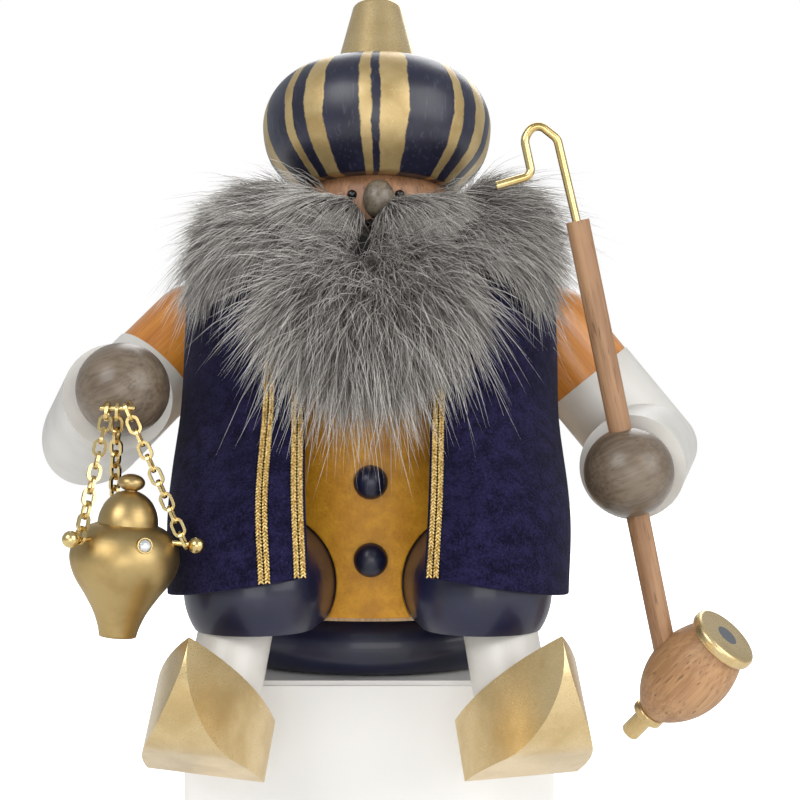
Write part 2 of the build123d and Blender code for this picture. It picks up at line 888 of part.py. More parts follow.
def chain(index):
    """Links hung in line from the staple's bar to a pin, each a quarter turn from the last."""
    start, ball = pin_line(pin_angles[index])
    out = (ball - start).normalized()
    hook = ball - out * (pin_ball_r + chain_wire)
    hang = bar_centre + vec(bar_half * chain_hang_shares[index], 0, 0)
    run = hook - hang
    down = run.normalized()
    over_bar = bar_r + chain_wire / 2 + chain_slack
    over_pin = pin_r + chain_wire / 2 + chain_slack
    spare = (chain_links - 1) * (chain_wire + chain_slack)
    wire_line = (run.length + over_bar + over_pin + spare) / chain_links
    pitch = wire_line - chain_wire - chain_slack
    first = (vec(1, 0, 0) - down * down.X).normalized()
    last = (out - down * down.dot(out)).normalized()
    angle = degrees(atan2(first.cross(last).dot(down), first.dot(last)))
    total = QUARTER * (chain_links - 1)
    turn = (total + (angle - total + QUARTER) % (QUARTER * 2) - QUARTER) / (chain_links - 1)
    links = []
    for number in range(chain_links):
        centre = hang + down * (wire_line / 2 - over_bar + pitch * number)
        frame = Plane(origin=centre, x_dir=first, z_dir=down)
        links.append(frame * Rot(0, 0, turn * number) * link(wire_line + chain_wire))
    return Compound(children=links)


def jar():
    side = [(jar_r * out, jar_h * up) for out, up in jar_shares]
    body = turned(
        Line((0, 0), side[0]),
        Spline(*side, tangents=((1, 0), (-1, 0))),
        Line(side[-1], (0, jar_h)),
        Line((0, jar_h), (0, 0)),
    )
    body -= Pos(*stone_place()) * Sphere(stone_r + glue_gap)
    body = jar_at * body
    for angle in pin_angles:
        start, ball = pin_line(angle)
        inward = (start - ball).normalized()
        body -= rod(start + inward * glue_gap, ball, pin_r + glue_gap)
    return body


def stone_place():
    turn = radians(stone_angle - QUARTER)
    reach = jar_r - stone_r * stone_sink_share
    return cos(turn) * reach, sin(turn) * reach, stone_up


def stone():
    return jar_at * Pos(*stone_place()) * Sphere(stone_r)


def lid():
    knob_z = lid_h + knob_half_h - knob_sink
    dome = soft_mass((lid_r, lid_r, lid_h), (0, 0, 0)) & Cylinder(lid_r * 2, lid_h * 2, align=LOW)
    neck = Cylinder(lid_neck_r, knob_z, align=LOW)
    knob = soft_mass((knob_r, knob_r, knob_half_h), (0, 0, knob_z))
    return jar_at * Pos(0, 0, jar_h + glue_gap) * (dome + neck + knob)


# Pipe: stem through the bored hand, wire mouthpiece, bowl with rim, insert, collar and nipple

bowl_centre = stem_ends()[1] + vec(bowl_out, -bowl_ahead, -bowl_below)
bowl_frame = Plane(origin=bowl_centre, z_dir=heading(1, bowl_out_tilt, bowl_fore_tilt))


def wire_points(gap=0):
    """Corners of the wire, from inside the stem over its hook to the mouth."""
    top, low = stem_ends()
    start = top + (low - top).normalized() * (wire_in + gap)
    return [start] + [vec(head_shift + head_r * x, top.Y, head_z + head_r * z) for x, z in wire_shares]


def pipe_wire():
    points = wire_points()
    path = FilletPolyline(*points, radius=[wire_r * share for share in wire_bend_shares])
    section = Plane(origin=points[0], z_dir=points[1] - points[0]) * Circle(wire_r)
    return sweep(section, path=path)


def pipe_stem():
    start, bend = wire_points(glue_gap)[:2]
    bore = rod(start, start + (bend - start).normalized() * (wire_in * 2), wire_r + glue_gap)
    return stem_rod() - bore


def pipe_bowl():
    half = bowl_len / 2
    wall = Spline((bowl_foot_r, -half), (bowl_r, -half * bowl_belly_share), (bowl_mouth_r, half),
                  tangents=((1, 1), (-1, 2)))
    body = turned(
        Line((0, -half), (bowl_foot_r, -half)), wall,
        Line((bowl_mouth_r, half), (0, half)), Line((0, half), (0, -half)),
    )
    return bowl_frame * body - stem_rod(glue_gap)


def rim_start():
    return bowl_len / 2 + glue_gap


def pipe_rim():
    disc = Cylinder(rim_r, rim_t, align=LOW)
    disc = fillet(disc.edges().filter_by(GeomType.CIRCLE), rim_edge)
    pocket = Pos(0, 0, rim_t) * Cylinder(insert_r + glue_gap, insert_t + glue_gap, align=HIGH)
    return bowl_frame * Pos(0, 0, rim_start()) * (disc - pocket)


def pipe_insert():
    return bowl_frame * Pos(0, 0, rim_start() + rim_t) * Cylinder(insert_r, insert_t, align=HIGH)


def pipe_nipple():
    top = -bowl_len / 2 - glue_gap
    collar = Pos(0, 0, top) * Cylinder(collar_r, collar_t, align=HIGH)
    collar = fillet(collar.edges().filter_by(GeomType.CIRCLE), nipple_edge)
    nipple = Pos(0, 0, top - collar_t / 2) * Cylinder(
        nipple_r, nipple_len + collar_t / 2, align=HIGH)
    nipple = fillet(nipple.edges().filter_by(GeomType.CIRCLE).sort_by(Axis.Z)[0], nipple_edge)
    return bowl_frame * (collar + nipple)


# Write every piece

single = {
    "seat_base": seat_base, "incense_plate": incense_plate, "plate_nail": plate_nail,
    "torso": torso, "vest": vest, "coat_back": coat_back,
    "head": head, "nose": nose, "eyes": eyes, "turban": turban, "turban_peg": turban_peg,
    "finial": finial, "hair_fur": hair_fur, "moustache_fur": moustache_fur, "beard_fur": beard_fur,
    "hand_staple": staple, "censer_pins": censer_pins, "censer_jar": jar, "censer_lid": lid,
    "censer_stone": stone, "pipe_stem": pipe_stem, "pipe_mouthpiece": pipe_wire,
    "pipe_bowl": pipe_bowl, "pipe_rim": pipe_rim, "pipe_insert": pipe_insert, "pipe_nipple": pipe_nipple,
}
paired = {
    "thigh": thigh, "lower_leg": lower_leg, "shoe": shoe, "upper_arm": upper_arm, "sleeve": sleeve,
    "forearm": forearm, "hand": hand, "coat_front": coat_front,
}
grouped = {"hip_dowels": hip_dowel, "shoulder_dowels": arm_dowel, "wrist_dowels": wrist_dowel}

for name, make in single.items():
    save(make(), name)
for name, make in paired.items():
    for side, word in SIDES.items():
        save(make(side), f"{name}_{word}")
for name, make in grouped.items():
    save(Compound(children=[make(side) for side in SIDES]), name)
for word, height in zip(("upper", "lower"), button_zs):
    save(button(height), f"button_{word}")
for index, word in enumerate(chain_words):
    save(chain(index), f"chain_{word}")
save(braid(-1, outer_braid_share), "braid_left_outer")
save(braid(-1, edge_braid_share), "braid_left_inner")
save(braid(1, edge_braid_share), "braid_right")
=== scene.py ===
# %% [markdown]
# # A seated incense smoker
# The CAD model holds every turned and bent piece at its real size. This lesson gives each
# of them its finish, and makes the soft pieces that CAD only blocks out: the felt coat,
# the leather vest, the metallic braids and the fur. We load the frame before anything else,
# because all places come from it.

# %% Load the frame
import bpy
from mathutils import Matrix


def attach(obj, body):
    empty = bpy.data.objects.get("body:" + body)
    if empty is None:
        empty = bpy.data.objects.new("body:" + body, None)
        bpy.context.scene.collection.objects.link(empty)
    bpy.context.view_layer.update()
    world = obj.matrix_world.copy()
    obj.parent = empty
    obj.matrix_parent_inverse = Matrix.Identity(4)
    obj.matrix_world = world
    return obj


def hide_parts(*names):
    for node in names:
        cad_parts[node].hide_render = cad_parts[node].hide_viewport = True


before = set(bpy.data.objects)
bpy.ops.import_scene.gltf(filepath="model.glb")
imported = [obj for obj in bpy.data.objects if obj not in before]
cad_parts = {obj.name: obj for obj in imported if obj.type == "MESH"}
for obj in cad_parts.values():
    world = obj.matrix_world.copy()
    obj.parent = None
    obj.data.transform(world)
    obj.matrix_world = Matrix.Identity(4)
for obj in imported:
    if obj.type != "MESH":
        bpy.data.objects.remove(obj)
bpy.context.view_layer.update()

import math

import bpy
import bmesh
import numpy as np
from mathutils import Matrix, Vector, noise

MM = 0.001
print("nodes in the frame:", len(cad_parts))

# %% [markdown]
# ## Node trees as sums
# A material or a Geometry Nodes tree is easier to read as arithmetic. `Term` wraps one
# socket and `Graph` adds the Math or Vector Math node that an expression asks for.

# %% Expressions on sockets
class Term:
    """One output socket that can stand in a sum, on either side of the sign."""

    def __init__(self, graph, socket):
        self.graph = graph
        self.socket = socket

    def __add__(self, other):
        return self.graph.calc("ADD", self, other)

    def __radd__(self, other):
        return self.graph.calc("ADD", other, self)

    def __sub__(self, other):
        return self.graph.calc("SUBTRACT", self, other)

    def __rsub__(self, other):
        return self.graph.calc("SUBTRACT", other, self)

    def __mul__(self, other):
        return self.graph.calc("MULTIPLY", self, other)

    def dot(self, axis):
        """Length of this vector along an axis, as a number."""
        return self.graph.node("ShaderNodeVectorMath", {"operation": "DOT_PRODUCT"},
                               {0: self, 1: axis}, out="Value")


class Graph:
    """A node tree that grows by calling node()."""

    def __init__(self, tree):
        self.tree = tree

    def node(self, kind, settings=None, sockets=None, out=0):
        made = self.tree.nodes.new(kind)
        for key, value in (settings or {}).items():
            setattr(made, key, value)
        for key, value in (sockets or {}).items():
            self.feed(made.inputs[key], value)
        return Term(self, made.outputs[out]) if len(made.outputs) else made

    def feed(self, socket, value):
        if isinstance(value, Term):
            self.tree.links.new(value.socket, socket)
        else:
            socket.default_value = value

    def calc(self, operation, *terms):
        vector = any(isinstance(t, Term) and t.socket.type == "VECTOR" for t in terms)
        if not vector:
            return self.node("ShaderNodeMath", {"operation": operation}, dict(enumerate(terms)))
        spread = [t if isinstance(t, Term) or hasattr(t, "__len__") else (t, t, t) for t in terms]
        return self.node("ShaderNodeVectorMath", {"operation": operation}, dict(enumerate(spread)))

    def ease(self, value, low, high, start=0.0, end=1.0):
        """Smooth step from start to end while value goes from low to high."""
        return self.node("ShaderNodeMapRange", {"interpolation_type": "SMOOTHSTEP"},
                         {0: value, 1: low, 2: high, 3: start, 4: end})

    def vector(self, x, y, z):
        return self.node("ShaderNodeCombineXYZ", None, {0: x, 1: y, 2: z})


print("expression helpers ready")

# %% [markdown]
# ## One finish per material
# `Finish` starts a material with its object coordinates. `surface()` is called last and adds
# the Principled shader. Colour, roughness and height have arguments of their own, and every
# other input is named by its socket, with an underscore for each space.

# %% The finish class
def paint(red, green, blue):
    """A colour as a maker reads it off a chart, 0 to 255, in linear light."""
    def linear(share):
        return share / 12.92 if share <= 0.04045 else ((share + 0.055) / 1.055) ** 2.4
    return tuple(linear(c / 255.0) for c in (red, green, blue)) + (1.0,)


class Finish(Graph):
    """A material written as expressions on object coordinates."""

    def __init__(self, name):
        self.material = bpy.data.materials.new(name)
        self.material.use_nodes = True
        super().__init__(self.material.node_tree)
        self.tree.nodes.clear()
        self.place = self.node("ShaderNodeTexCoord", out="Object")

    def noise(self, scale, detail=2.0, roughness=0.5, distortion=0.0, place=None):
        """Noise on the object coordinates, or on another place."""
        return self.node("ShaderNodeTexNoise", None, {
            "Vector": place or self.place, "Scale": scale, "Detail": detail,
            "Roughness": roughness, "Distortion": distortion})

    def mix(self, factor, first, second):
        return self.node("ShaderNodeMix", {"data_type": "RGBA"}, {0: factor, 6: first, 7: second}, out=2)

    def attribute(self, name):
        return self.node("ShaderNodeAttribute", {"attribute_name": name}, out="Fac")

    def surface(self, colour, roughness, height=None, depth=0.0002, strength=1.0, **constants):
        shader = self.tree.nodes.new("ShaderNodeBsdfPrincipled")
        self.feed(shader.inputs["Base Color"], colour)
        self.feed(shader.inputs["Roughness"], roughness)
        for key, value in constants.items():
            self.feed(shader.inputs[key.replace("_", " ")], value)
        if height is not None:
            bump = self.node("ShaderNodeBump", None,
                             {"Strength": strength, "Distance": depth, "Height": height})
            self.feed(shader.inputs["Normal"], bump)
        output = self.tree.nodes.new("ShaderNodeOutputMaterial")
        self.tree.links.new(shader.outputs[0], output.inputs[0])
        return self.material


print("pure white reads", paint(255, 255, 255))

# %% [markdown]
# ## Turned wood under stain, paint and lacquer
# All wooden pieces share one recipe: fine streaks and short pores that run along the
# piece's own axis. Stain keeps them in the colour, and paint only lets them through as
# a faint relief. We turn the pattern by dot products with three axes of the piece, so an
# arm that hangs askew still has its grain along its length.

# %% Axes for the grain
def axes_along(axis):
    """Two directions across an axis, and the axis itself."""
    axis = Vector(axis).normalized()
    side = axis.orthogonal().normalized()
    return side, axis.cross(side), axis


def grain_place(finish, axis, stretch):
    """Object coordinates turned to the piece, and squeezed along its axis."""
    side, across, main = (finish.place.dot(way) for way in axes_along(axis))
    return finish.vector(side, across, main * stretch)


def stained_wood(name, light, dark, axis, pores=0.5, roughness=0.42, coat=0.15, relief=0.6):
    """Wood that shows its grain through a stain."""
    finish = Finish(name)
    fibre = finish.noise(1500.0, 3.0, 0.6, place=grain_place(finish, axis, 0.05))
    flecks = finish.noise(2600.0, 1.0, place=grain_place(finish, axis, 0.10))
    rings = finish.noise(260.0, distortion=0.8, place=grain_place(finish, axis, 0.03))
    cloud = finish.noise(60.0)
    pore = finish.ease(flecks, 0.63, 0.72) * pores
    colour = finish.mix(finish.ease(fibre * 0.55 + rings * 0.45, 0.36, 0.64), dark, light)
    deep = tuple(c * 0.45 for c in dark[:3]) + (1.0,)
    colour = finish.mix(pore, colour, deep)
    pale = tuple(min(1.0, c * 1.12) for c in light[:3]) + (1.0,)
    colour = finish.mix(finish.ease(cloud, 0.45, 0.75) * 0.4, colour, pale)
    return finish.surface(colour, roughness + (fibre - 0.5) * 0.16, fibre * 0.4 - pore * 0.8, 0.00006,
                          relief, Coat_Weight=coat, Coat_Roughness=0.25, Specular_IOR_Level=0.45)


def painted_wood(name, colour, shade, axis, roughness=0.3, coat=0.4, relief=0.35, worn=0.12):
    """Wood under opaque paint: the grain is only a faint relief."""
    finish = Finish(name)
    fibre = finish.noise(1100.0, 3.0, 0.6, place=grain_place(finish, axis, 0.06))
    cloud = finish.noise(90.0, 3.0, 0.6)
    peel = finish.noise(900.0, 1.0)
    tone = finish.mix(finish.ease(cloud, 0.35, 0.7), colour, shade)
    tone = finish.mix(finish.ease(fibre, 0.6, 0.75) * worn, tone, shade)
    return finish.surface(tone, roughness + (cloud - 0.5) * 0.18, fibre * 0.5 + peel * 0.5, 0.00005,
                          relief, Coat_Weight=coat, Coat_Roughness=0.12)


def dress(node, material):
    """Gives a CAD node its finish."""
    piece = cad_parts[node]
    if not piece.data.materials:
        piece.data.materials.append(material)
    for place in piece.material_slots:
        place.material = material


UP, AHEAD = (0.0, 0.0, 1.0), (0, 1, 0)
sides = (("left", -1), ("right", 1))
navy_gloss = dict(colour=paint(21, 23, 54), shade=paint(12, 13, 38), roughness=0.4, coat=0.25, worn=0.3)
thigh_splay = math.radians(8.0)
navy_axes = {"seat_base": UP, "button_upper": AHEAD, "button_lower": AHEAD}
for side, sign in sides:
    navy_axes["thigh_" + side] = (sign * math.sin(thigh_splay), -math.cos(thigh_splay), 0.0)
for node, axis in navy_axes.items():
    dress(node, painted_wood("navy lacquer " + node, axis=axis, **navy_gloss))
print("navy lacquer on base, buttons and thighs")

# %% [markdown]
# ## Stained and bare wood
# The upper arms are stained ochre under a silky varnish, the hands and the nose grey-brown,
# the head a reddish flesh tone, and the pipe is bare beech, which shows short dark flecks.

# %% Arms, hands, head and pipe
arm_runs = {
    "left": ((-17.2, -10.5, -19.2), (8.7, -24.5, 6.2)),
    "right": ((18.6, -2.0, -22.9), (-6.3, -23.4, -2.9)),
}
white = dict(colour=paint(217, 213, 206), shade=paint(208, 203, 194), roughness=0.42, coat=0.15, relief=0.5)
hand_axis = (0.9, -0.1, 0.4)
shin_out, shin_ahead = math.tan(math.radians(9.0)), math.tan(math.radians(26.0))
for side, sign in sides:
    upper, fore = arm_runs[side]
    dress("upper_arm_" + side, stained_wood(
        "ochre stain arm " + side, paint(214, 140, 52), paint(188, 112, 34), upper,
        pores=0.3, roughness=0.32, coat=0.5, relief=0.3))
    dress("sleeve_" + side, painted_wood("white paint sleeve " + side, axis=upper, **white))
    dress("forearm_" + side, painted_wood("white paint forearm " + side, axis=fore, **white))
    dress("hand_" + side, stained_wood(
        "grey stain hand " + side, paint(122, 107, 90), paint(90, 75, 60), hand_axis,
        pores=0.6, roughness=0.34, coat=0.25))
    shin = (sign * shin_out, -shin_ahead, -1.0)
    dress("lower_leg_" + side, painted_wood("white paint shin " + side, axis=shin, **white))

stem_axis, bowl_axis = (17.4, 8.3, -79.5), (0.57, -0.41, 0.72)
beech = dict(pores=0.75, roughness=0.5, coat=0.05)
dress("pipe_stem", stained_wood("beech stem", paint(174, 135, 100), paint(146, 107, 76), stem_axis, **beech))
dress("pipe_bowl", stained_wood("beech bowl", paint(190, 148, 106), paint(160, 118, 80), bowl_axis, **beech))
dress("head", stained_wood("flesh stain head", paint(176, 130, 94), paint(142, 98, 66), UP,
                           pores=0.7, roughness=0.46, coat=0.1))
dress("nose", stained_wood("grey stain nose", paint(130, 119, 103), paint(98, 86, 72), AHEAD,
                           pores=0.6, roughness=0.32, coat=0.3))
for node in ("torso", "turban_peg", "hip_dowels", "shoulder_dowels", "wrist_dowels"):
    dress(node, stained_wood("bare wood " + node, paint(205, 176, 140), paint(178, 146, 108), UP,
                             roughness=0.62, coat=0.0))
print("stains on arms, hands, head and pipe")

# %% [markdown]
# ## Gold lacquer and brass
# The shoes, the finial and the bowl's trim are wood under a satin gold lacquer: metal flakes
# in varnish, so the shine is broken by fine grain. The censer is turned brass, left matt by
# the lathe, and its chain, pins and the pipe's wire are drawn brass, which is brighter.

# %% Gold and brass finishes
def gold_lacquer(name):
    """Metal flakes in a satin varnish."""
    finish = Finish(name)
    flake = finish.noise(5200.0, 1.0)
    cloud = finish.noise(120.0, 3.0, 0.6)
    tone = finish.mix(finish.ease(cloud, 0.35, 0.7), paint(222, 196, 146), paint(204, 176, 122))
    tone = finish.mix(finish.ease(flake, 0.6, 0.74) * 0.3, tone, paint(240, 222, 178))
    rough = 0.3 + (flake - 0.5) * 0.2 + (cloud - 0.5) * 0.06
    return finish.surface(tone, rough, flake * 0.5 + cloud * 0.3, 0.00004, 0.4, Metallic=0.8,
                          Coat_Weight=0.2, Coat_Roughness=0.2)


def turned_brass(name, axis, centre, colour, shade, roughness, lines=1.0):
    """Brass with the lathe's fine rings across its axis."""
    finish = Finish(name)
    main = Vector(axis).normalized()
    height = finish.place.dot(main) - Vector(centre).dot(main)
    rings = finish.noise(3200.0, 2.0, 0.7, place=finish.vector(0.0, 0.0, height))
    cloud = finish.noise(140.0, 3.0, 0.6)
    tone = finish.mix(finish.ease(cloud, 0.4, 0.72), colour, shade)
    rough = roughness + (rings - 0.5) * 0.18 * lines + (cloud - 0.5) * 0.12
    return finish.surface(tone, rough, rings * lines, 0.00003, 0.6, Metallic=1.0)


for node in ("shoe_left", "shoe_right", "finial", "pipe_rim", "pipe_nipple"):
    dress(node, gold_lacquer("gold lacquer " + node))
jar_lean = math.radians(5.3)
jar_axis = Vector((math.sin(jar_lean), 0.0, math.cos(jar_lean)))
jar_foot = Vector((-41.03, -52.96, 11.13))
matt = dict(axis=jar_axis, centre=jar_foot * MM, colour=paint(192, 166, 114), shade=paint(176, 148, 96))
jar_brass = turned_brass("matt brass jar", roughness=0.42, **matt)
dress("censer_lid", turned_brass("matt brass lid", roughness=0.40, **matt))
drawn_brass = turned_brass("drawn brass", UP, (0, 0, 0), paint(232, 208, 148), paint(206, 176, 114),
                           roughness=0.22, lines=0.3)
for node in ("chain_front", "chain_right", "chain_rear", "censer_pins", "hand_staple",
             "pipe_mouthpiece", "incense_plate", "plate_nail"):
    dress(node, drawn_brass)
print("gold on shoes and finial, brass on the censer and wire")

# %% [markdown]
# ## Eyes, stone and the bowl's ember plug
# The eyes are dots of black enamel. The stone is clear cut glass in a brass pocket. The plug
# in the bowl is matt grey.

# %% Small finishes
def enamel(name, colour, roughness, coat):
    finish = Finish(name)
    haze = finish.noise(2400.0)
    return finish.surface(colour, roughness + (haze - 0.5) * 0.1, haze, 0.00002, 0.3, Coat_Weight=coat)


dress("eyes", enamel("black enamel", paint(14, 13, 14), 0.28, 0.3))
dress("pipe_insert", enamel("grey plug", paint(92, 94, 98), 0.6, 0.0))
stone = Finish("clear stone")
sparkle = stone.noise(900.0, 0.0)
clear_stone = stone.surface(stone.mix(sparkle, paint(226, 232, 240), paint(250, 250, 252)),
                            0.03 + sparkle * 0.02, sparkle, 0.00005, 0.1,
                            Transmission_Weight=0.6, IOR=1.9, Coat_Weight=0.8)
print("enamel and glass done")

# %% [markdown]
# ## The turban's stripes
# The turban is navy with gold stripes that were cut by hand and run from the finial to the rim
# like the segments of a melon. A stripe is a range of angles about the turban's own axis, so
# we take the arctangent of two coordinates and let noise fray the edges.

# %% Turban finish
turban_tilt = math.radians(8.0)
turban_centre = Vector((0.9, 0.0, 103.9))
stripes = ((-77.5, 7.5), (-47.3, 3.1), (-30.5, 5.2), (-4.7, 2.9), (9.9, 7.2), (45.1, 3.2), (62.4, 4.7),
           (82, 6.5), (101, 3.2), (124, 6.0), (143, 3.6), (161, 6.8), (-171, 3.3), (-150, 6.4),
           (-127, 3.4), (-106, 5.2))


def turban_finish():
    """Navy paint with a gold band at each stripe, given by its middle and half its width in degrees."""
    finish = Finish("striped turban")
    side = Vector((1.0, 0.0, 0.0))
    axis = Vector((0.0, math.sin(turban_tilt), math.cos(turban_tilt)))
    front = -axis.cross(side)
    across, ahead = (finish.place.dot(way) - (turban_centre * MM).dot(way) for way in (side, front))
    angle = finish.calc("ARCTAN2", across, ahead) * (180.0 / math.pi)
    fray = (finish.noise(420.0, 3.0, 0.65) - 0.5) * 2.6
    drift = (finish.noise(70.0, 1.0) - 0.5) * 7.0
    gold = None
    for centre, half in stripes:
        away = finish.calc("ABSOLUTE", finish.calc("WRAP", angle + drift - centre, 180.0, -180.0))
        band = finish.ease(away + fray, half - 0.5, half + 0.5, 1.0, 0.0)
        gold = band if gold is None else finish.calc("MAXIMUM", gold, band)
    flake = finish.noise(5200.0, 1.0)
    cloud = finish.noise(130.0, 3.0, 0.6)
    grain = finish.noise(1500.0, 3.0, 0.6, place=grain_place(finish, axis, 0.05))
    navy = finish.mix(finish.ease(cloud, 0.35, 0.75), paint(20, 20, 40), paint(34, 34, 56))
    navy = finish.mix(finish.ease(grain, 0.56, 0.66) * 0.5, navy, paint(66, 66, 84))
    leaf = finish.mix(finish.ease(cloud, 0.35, 0.7), paint(200, 174, 122), paint(176, 148, 94))
    leaf = finish.mix(finish.ease(flake, 0.62, 0.74) * 0.3, leaf, paint(246, 230, 190))
    rough = 0.36 + gold * 0.06 + (flake - 0.5) * 0.14 + (grain - 0.5) * 0.2
    height = gold * 0.8 + cloud * 0.2 + grain * 0.3 + flake * 0.1
    return finish.surface(finish.mix(gold, navy, leaf), rough, height, 0.00008, 0.6,
                          Metallic=gold * 0.6, Coat_Weight=0.25, Coat_Roughness=0.25)


turban_paint = turban_finish()
print("stripes on the turban:", len(stripes))

# %% [markdown]
# ## Felt, leather and the way a sheet hangs
# The coat is three pieces of felt, glued at the shoulders and left open at the sides. A sheet
# this stiff doesn't fold, so a cloth solver would only add noise. We give the line that each
# front follows at seven heights, draw a smooth surface through them, and let Solidify add the
# real thickness outwards, because the lines lie on the felt's inner face.

# %% Smooth lines through given points
def smooth_line(points, shares, share):
    """Point on a smooth line through points that lie at the given shares."""
    last = len(points) - 1
    step = max(0, min(last - 1, sum(1 for s in shares[1:-1] if share > s)))
    slopes = []
    for index in (step, step + 1):
        before, after = max(0, index - 1), min(last, index + 1)
        slopes.append((points[after] - points[before]) / (shares[after] - shares[before]))
    span = shares[step + 1] - shares[step]
    t = (share - shares[step]) / span
    return (points[step] * (2 * t ** 3 - 3 * t ** 2 + 1) + points[step + 1] * (3 * t ** 2 - 2 * t ** 3)
            + slopes[0] * span * (t ** 3 - 2 * t ** 2 + t) + slopes[1] * span * (t ** 3 - t ** 2))


def arc_point(row, share):
    """Point at a share of the way along the arc through three points."""
    first, middle, last = row
    near, far = middle - first, last - first
    normal = near.cross(far)
    if normal.length < 1e-9:
        return first.lerp(last, share)
    hub = first + (normal.cross(near) * far.length_squared
                   + far.cross(normal) * near.length_squared) / (2 * normal.length_squared)
    normal.normalize()
    start, end = first - hub, last - hub
    turn = math.atan2(normal.dot(start.cross(end)), start.dot(end)) % (2 * math.pi)
    return hub + Matrix.Rotation(turn * share, 3, normal) @ start


def shares_of(points):
    """Shares of the way along a run of points."""
    runs = [0.0]
    for first, second in zip(points, points[1:]):
        runs.append(runs[-1] + (second - first).length)
    return [run / runs[-1] for run in runs]


def sheet_points(levels, columns, rows, stop=None):
    """Grid of points on the surface through the levels, lowest row first."""
    grid = []
    for column in range(columns + 1):
        across = column / columns
        line = [arc_point(level, across) for level in levels]
        marks = shares_of(line)
        end = stop(line, marks) if stop else 1.0
        grid.append([smooth_line(line, marks, end * row / rows) for row in range(rows + 1)])
    return [[grid[c][r] for c in range(columns + 1)] for r in range(rows + 1)]


torso_r, torso_top = 32.5 * MM, 76.0 * MM
front_shares = (
    ((0.295, -1.677, 0.274), (0.640, -1.695, 0.250), (1.018, -0.985, 0.215)),
    ((0.320, -1.538, 0.434), (0.695, -1.545, 0.424), (1.028, -0.831, 0.408)),
    ((0.338, -1.255, 0.658), (0.757, -1.151, 0.658), (1.045, -0.631, 0.658)),
    ((0.369, -1.114, 0.855), (0.769, -0.954, 0.855), (1.045, -0.523, 0.855)),
    ((0.462, -0.892, 1.007), (0.775, -0.782, 1.013), (1.045, -0.449, 1.020)),
    ((0.523, -0.431, 1.087), (0.800, -0.406, 1.087), (1.045, -0.308, 1.079)),
    ((0.523, -0.009, 1.110), (0.800, -0.009, 1.113), (1.045, -0.009, 1.100)),
)


def front_rows(side):
    return [[Vector((side * torso_r * x, torso_r * y, torso_top * z)) for x, y, z in level]
            for level in front_shares]


print("front panel levels:", len(front_shares))

# %% Pieces and sheets
def new_object(name, data):
    """An object at the origin, linked to the scene."""
    made = bpy.data.objects.new(name, data)
    bpy.context.scene.collection.objects.link(made)
    return made


def finished(piece, name):
    """The evaluated mesh of a piece, with the piece itself gone."""
    done = bpy.data.meshes.new_from_object(piece.evaluated_get(bpy.context.evaluated_depsgraph_get()))
    bpy.data.objects.remove(piece)
    done.name = name
    return done


def new_piece(name, mesh, material, slot_name, nodes, body="figure"):
    """Links a finished mesh, gives it its body and hides the CAD nodes that it stands for."""
    piece = new_object(name, mesh)
    if not mesh.materials:
        mesh.materials.append(material)
    mesh.shade_smooth()
    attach(piece, body)
    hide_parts(*nodes)
    return piece


over_shoulders = 79.0 * MM


def from_axis(point):
    """Outwards from the figure's own axis, and slanting upwards over the shoulders."""
    flat = Vector((point.x, point.y, 0.0))
    lift = 1.0 if point.z > over_shoulders else 0.0
    return (flat.normalized() + Vector((0.0, 0.0, lift))).normalized()


def open_mesh(name, grid):
    """One layer of faces through a grid of points, facing away from the figure's axis."""
    wide = len(grid[0])
    faces = [(r * wide + c, r * wide + c + 1, (r + 1) * wide + c + 1, (r + 1) * wide + c)
             for r in range(len(grid) - 1) for c in range(wide - 1)]
    mesh = bpy.data.meshes.new(name)
    mesh.from_pydata([point for row in grid for point in row], [], faces)
    first = mesh.polygons[0]
    if first.normal.dot(from_axis(first.center)) < 0:
        mesh.flip_normals()
    return mesh


def grid_mesh(name, grid, thickness, ripple=0.0):
    """A sheet through a grid of points, thickened outwards, with softened edges."""
    waved = [[point + from_axis(point) * (noise.noise(point * 60.0) * ripple) for point in row]
             for row in grid]
    piece = new_object(name + " cut", open_mesh(name, waved))
    wall = piece.modifiers.new("wall", "SOLIDIFY")
    wall.thickness = thickness
    wall.offset = 1.0
    wall.use_quality_normals = True
    edge = piece.modifiers.new("edge", "BEVEL")
    edge.width = thickness * 0.28
    edge.segments = 2
    edge.limit_method = "ANGLE"
    edge.angle_limit = math.radians(50.0)
    return finished(piece, name)


def sheet_size(grid):
    """Mean width, mean length and area of a grid, in metres."""
    widths, lengths = ([sum((b - a).length for a, b in zip(line, line[1:])) for line in lines]
                       for lines in (grid, list(zip(*grid))))
    area = 0.0
    for low, high in zip(grid, grid[1:]):
        for a, b, c, d in zip(low, low[1:], high[1:], high):
            area += ((b - a).cross(c - a).length + (c - a).cross(d - a).length) / 2
    return sum(widths) / len(widths), sum(lengths) / len(lengths), area


def declare_sheet(piece, grid):
    """Prints how large the sheet was cut: its mean width, mean length and area."""
    width, length, area = sheet_size(grid)
    print(piece.name, "width, length, area:", round(width, 4), round(length, 4), round(area, 6))


print("piece and sheet helpers ready")

# %% The felt and the coat's fronts
felt = Finish("navy felt")
wool = felt.noise(2300.0, 4.0, 0.75)
tuft = felt.noise(420.0, 3.0, 0.65)
lint = felt.noise(3600.0, 1.0)
cloud = felt.noise(60.0)
tone = felt.mix(felt.ease(wool * 0.6 + tuft * 0.4, 0.38, 0.62), paint(11, 9, 29), paint(36, 33, 66))
tone = felt.mix(felt.ease(cloud, 0.4, 0.7) * 0.4, tone, paint(12, 10, 30))
tone = felt.mix(felt.ease(lint, 0.68, 0.76) * 0.35, tone, paint(76, 76, 108))
navy_felt = felt.surface(tone, 0.95, wool * 0.8 + tuft * 0.3, 0.0002, 0.8,
                         Sheen_Weight=0.05, Sheen_Roughness=0.5, Specular_IOR_Level=0.08)
felt_thick, felt_ripple = 1.0 * MM, 0.25 * MM


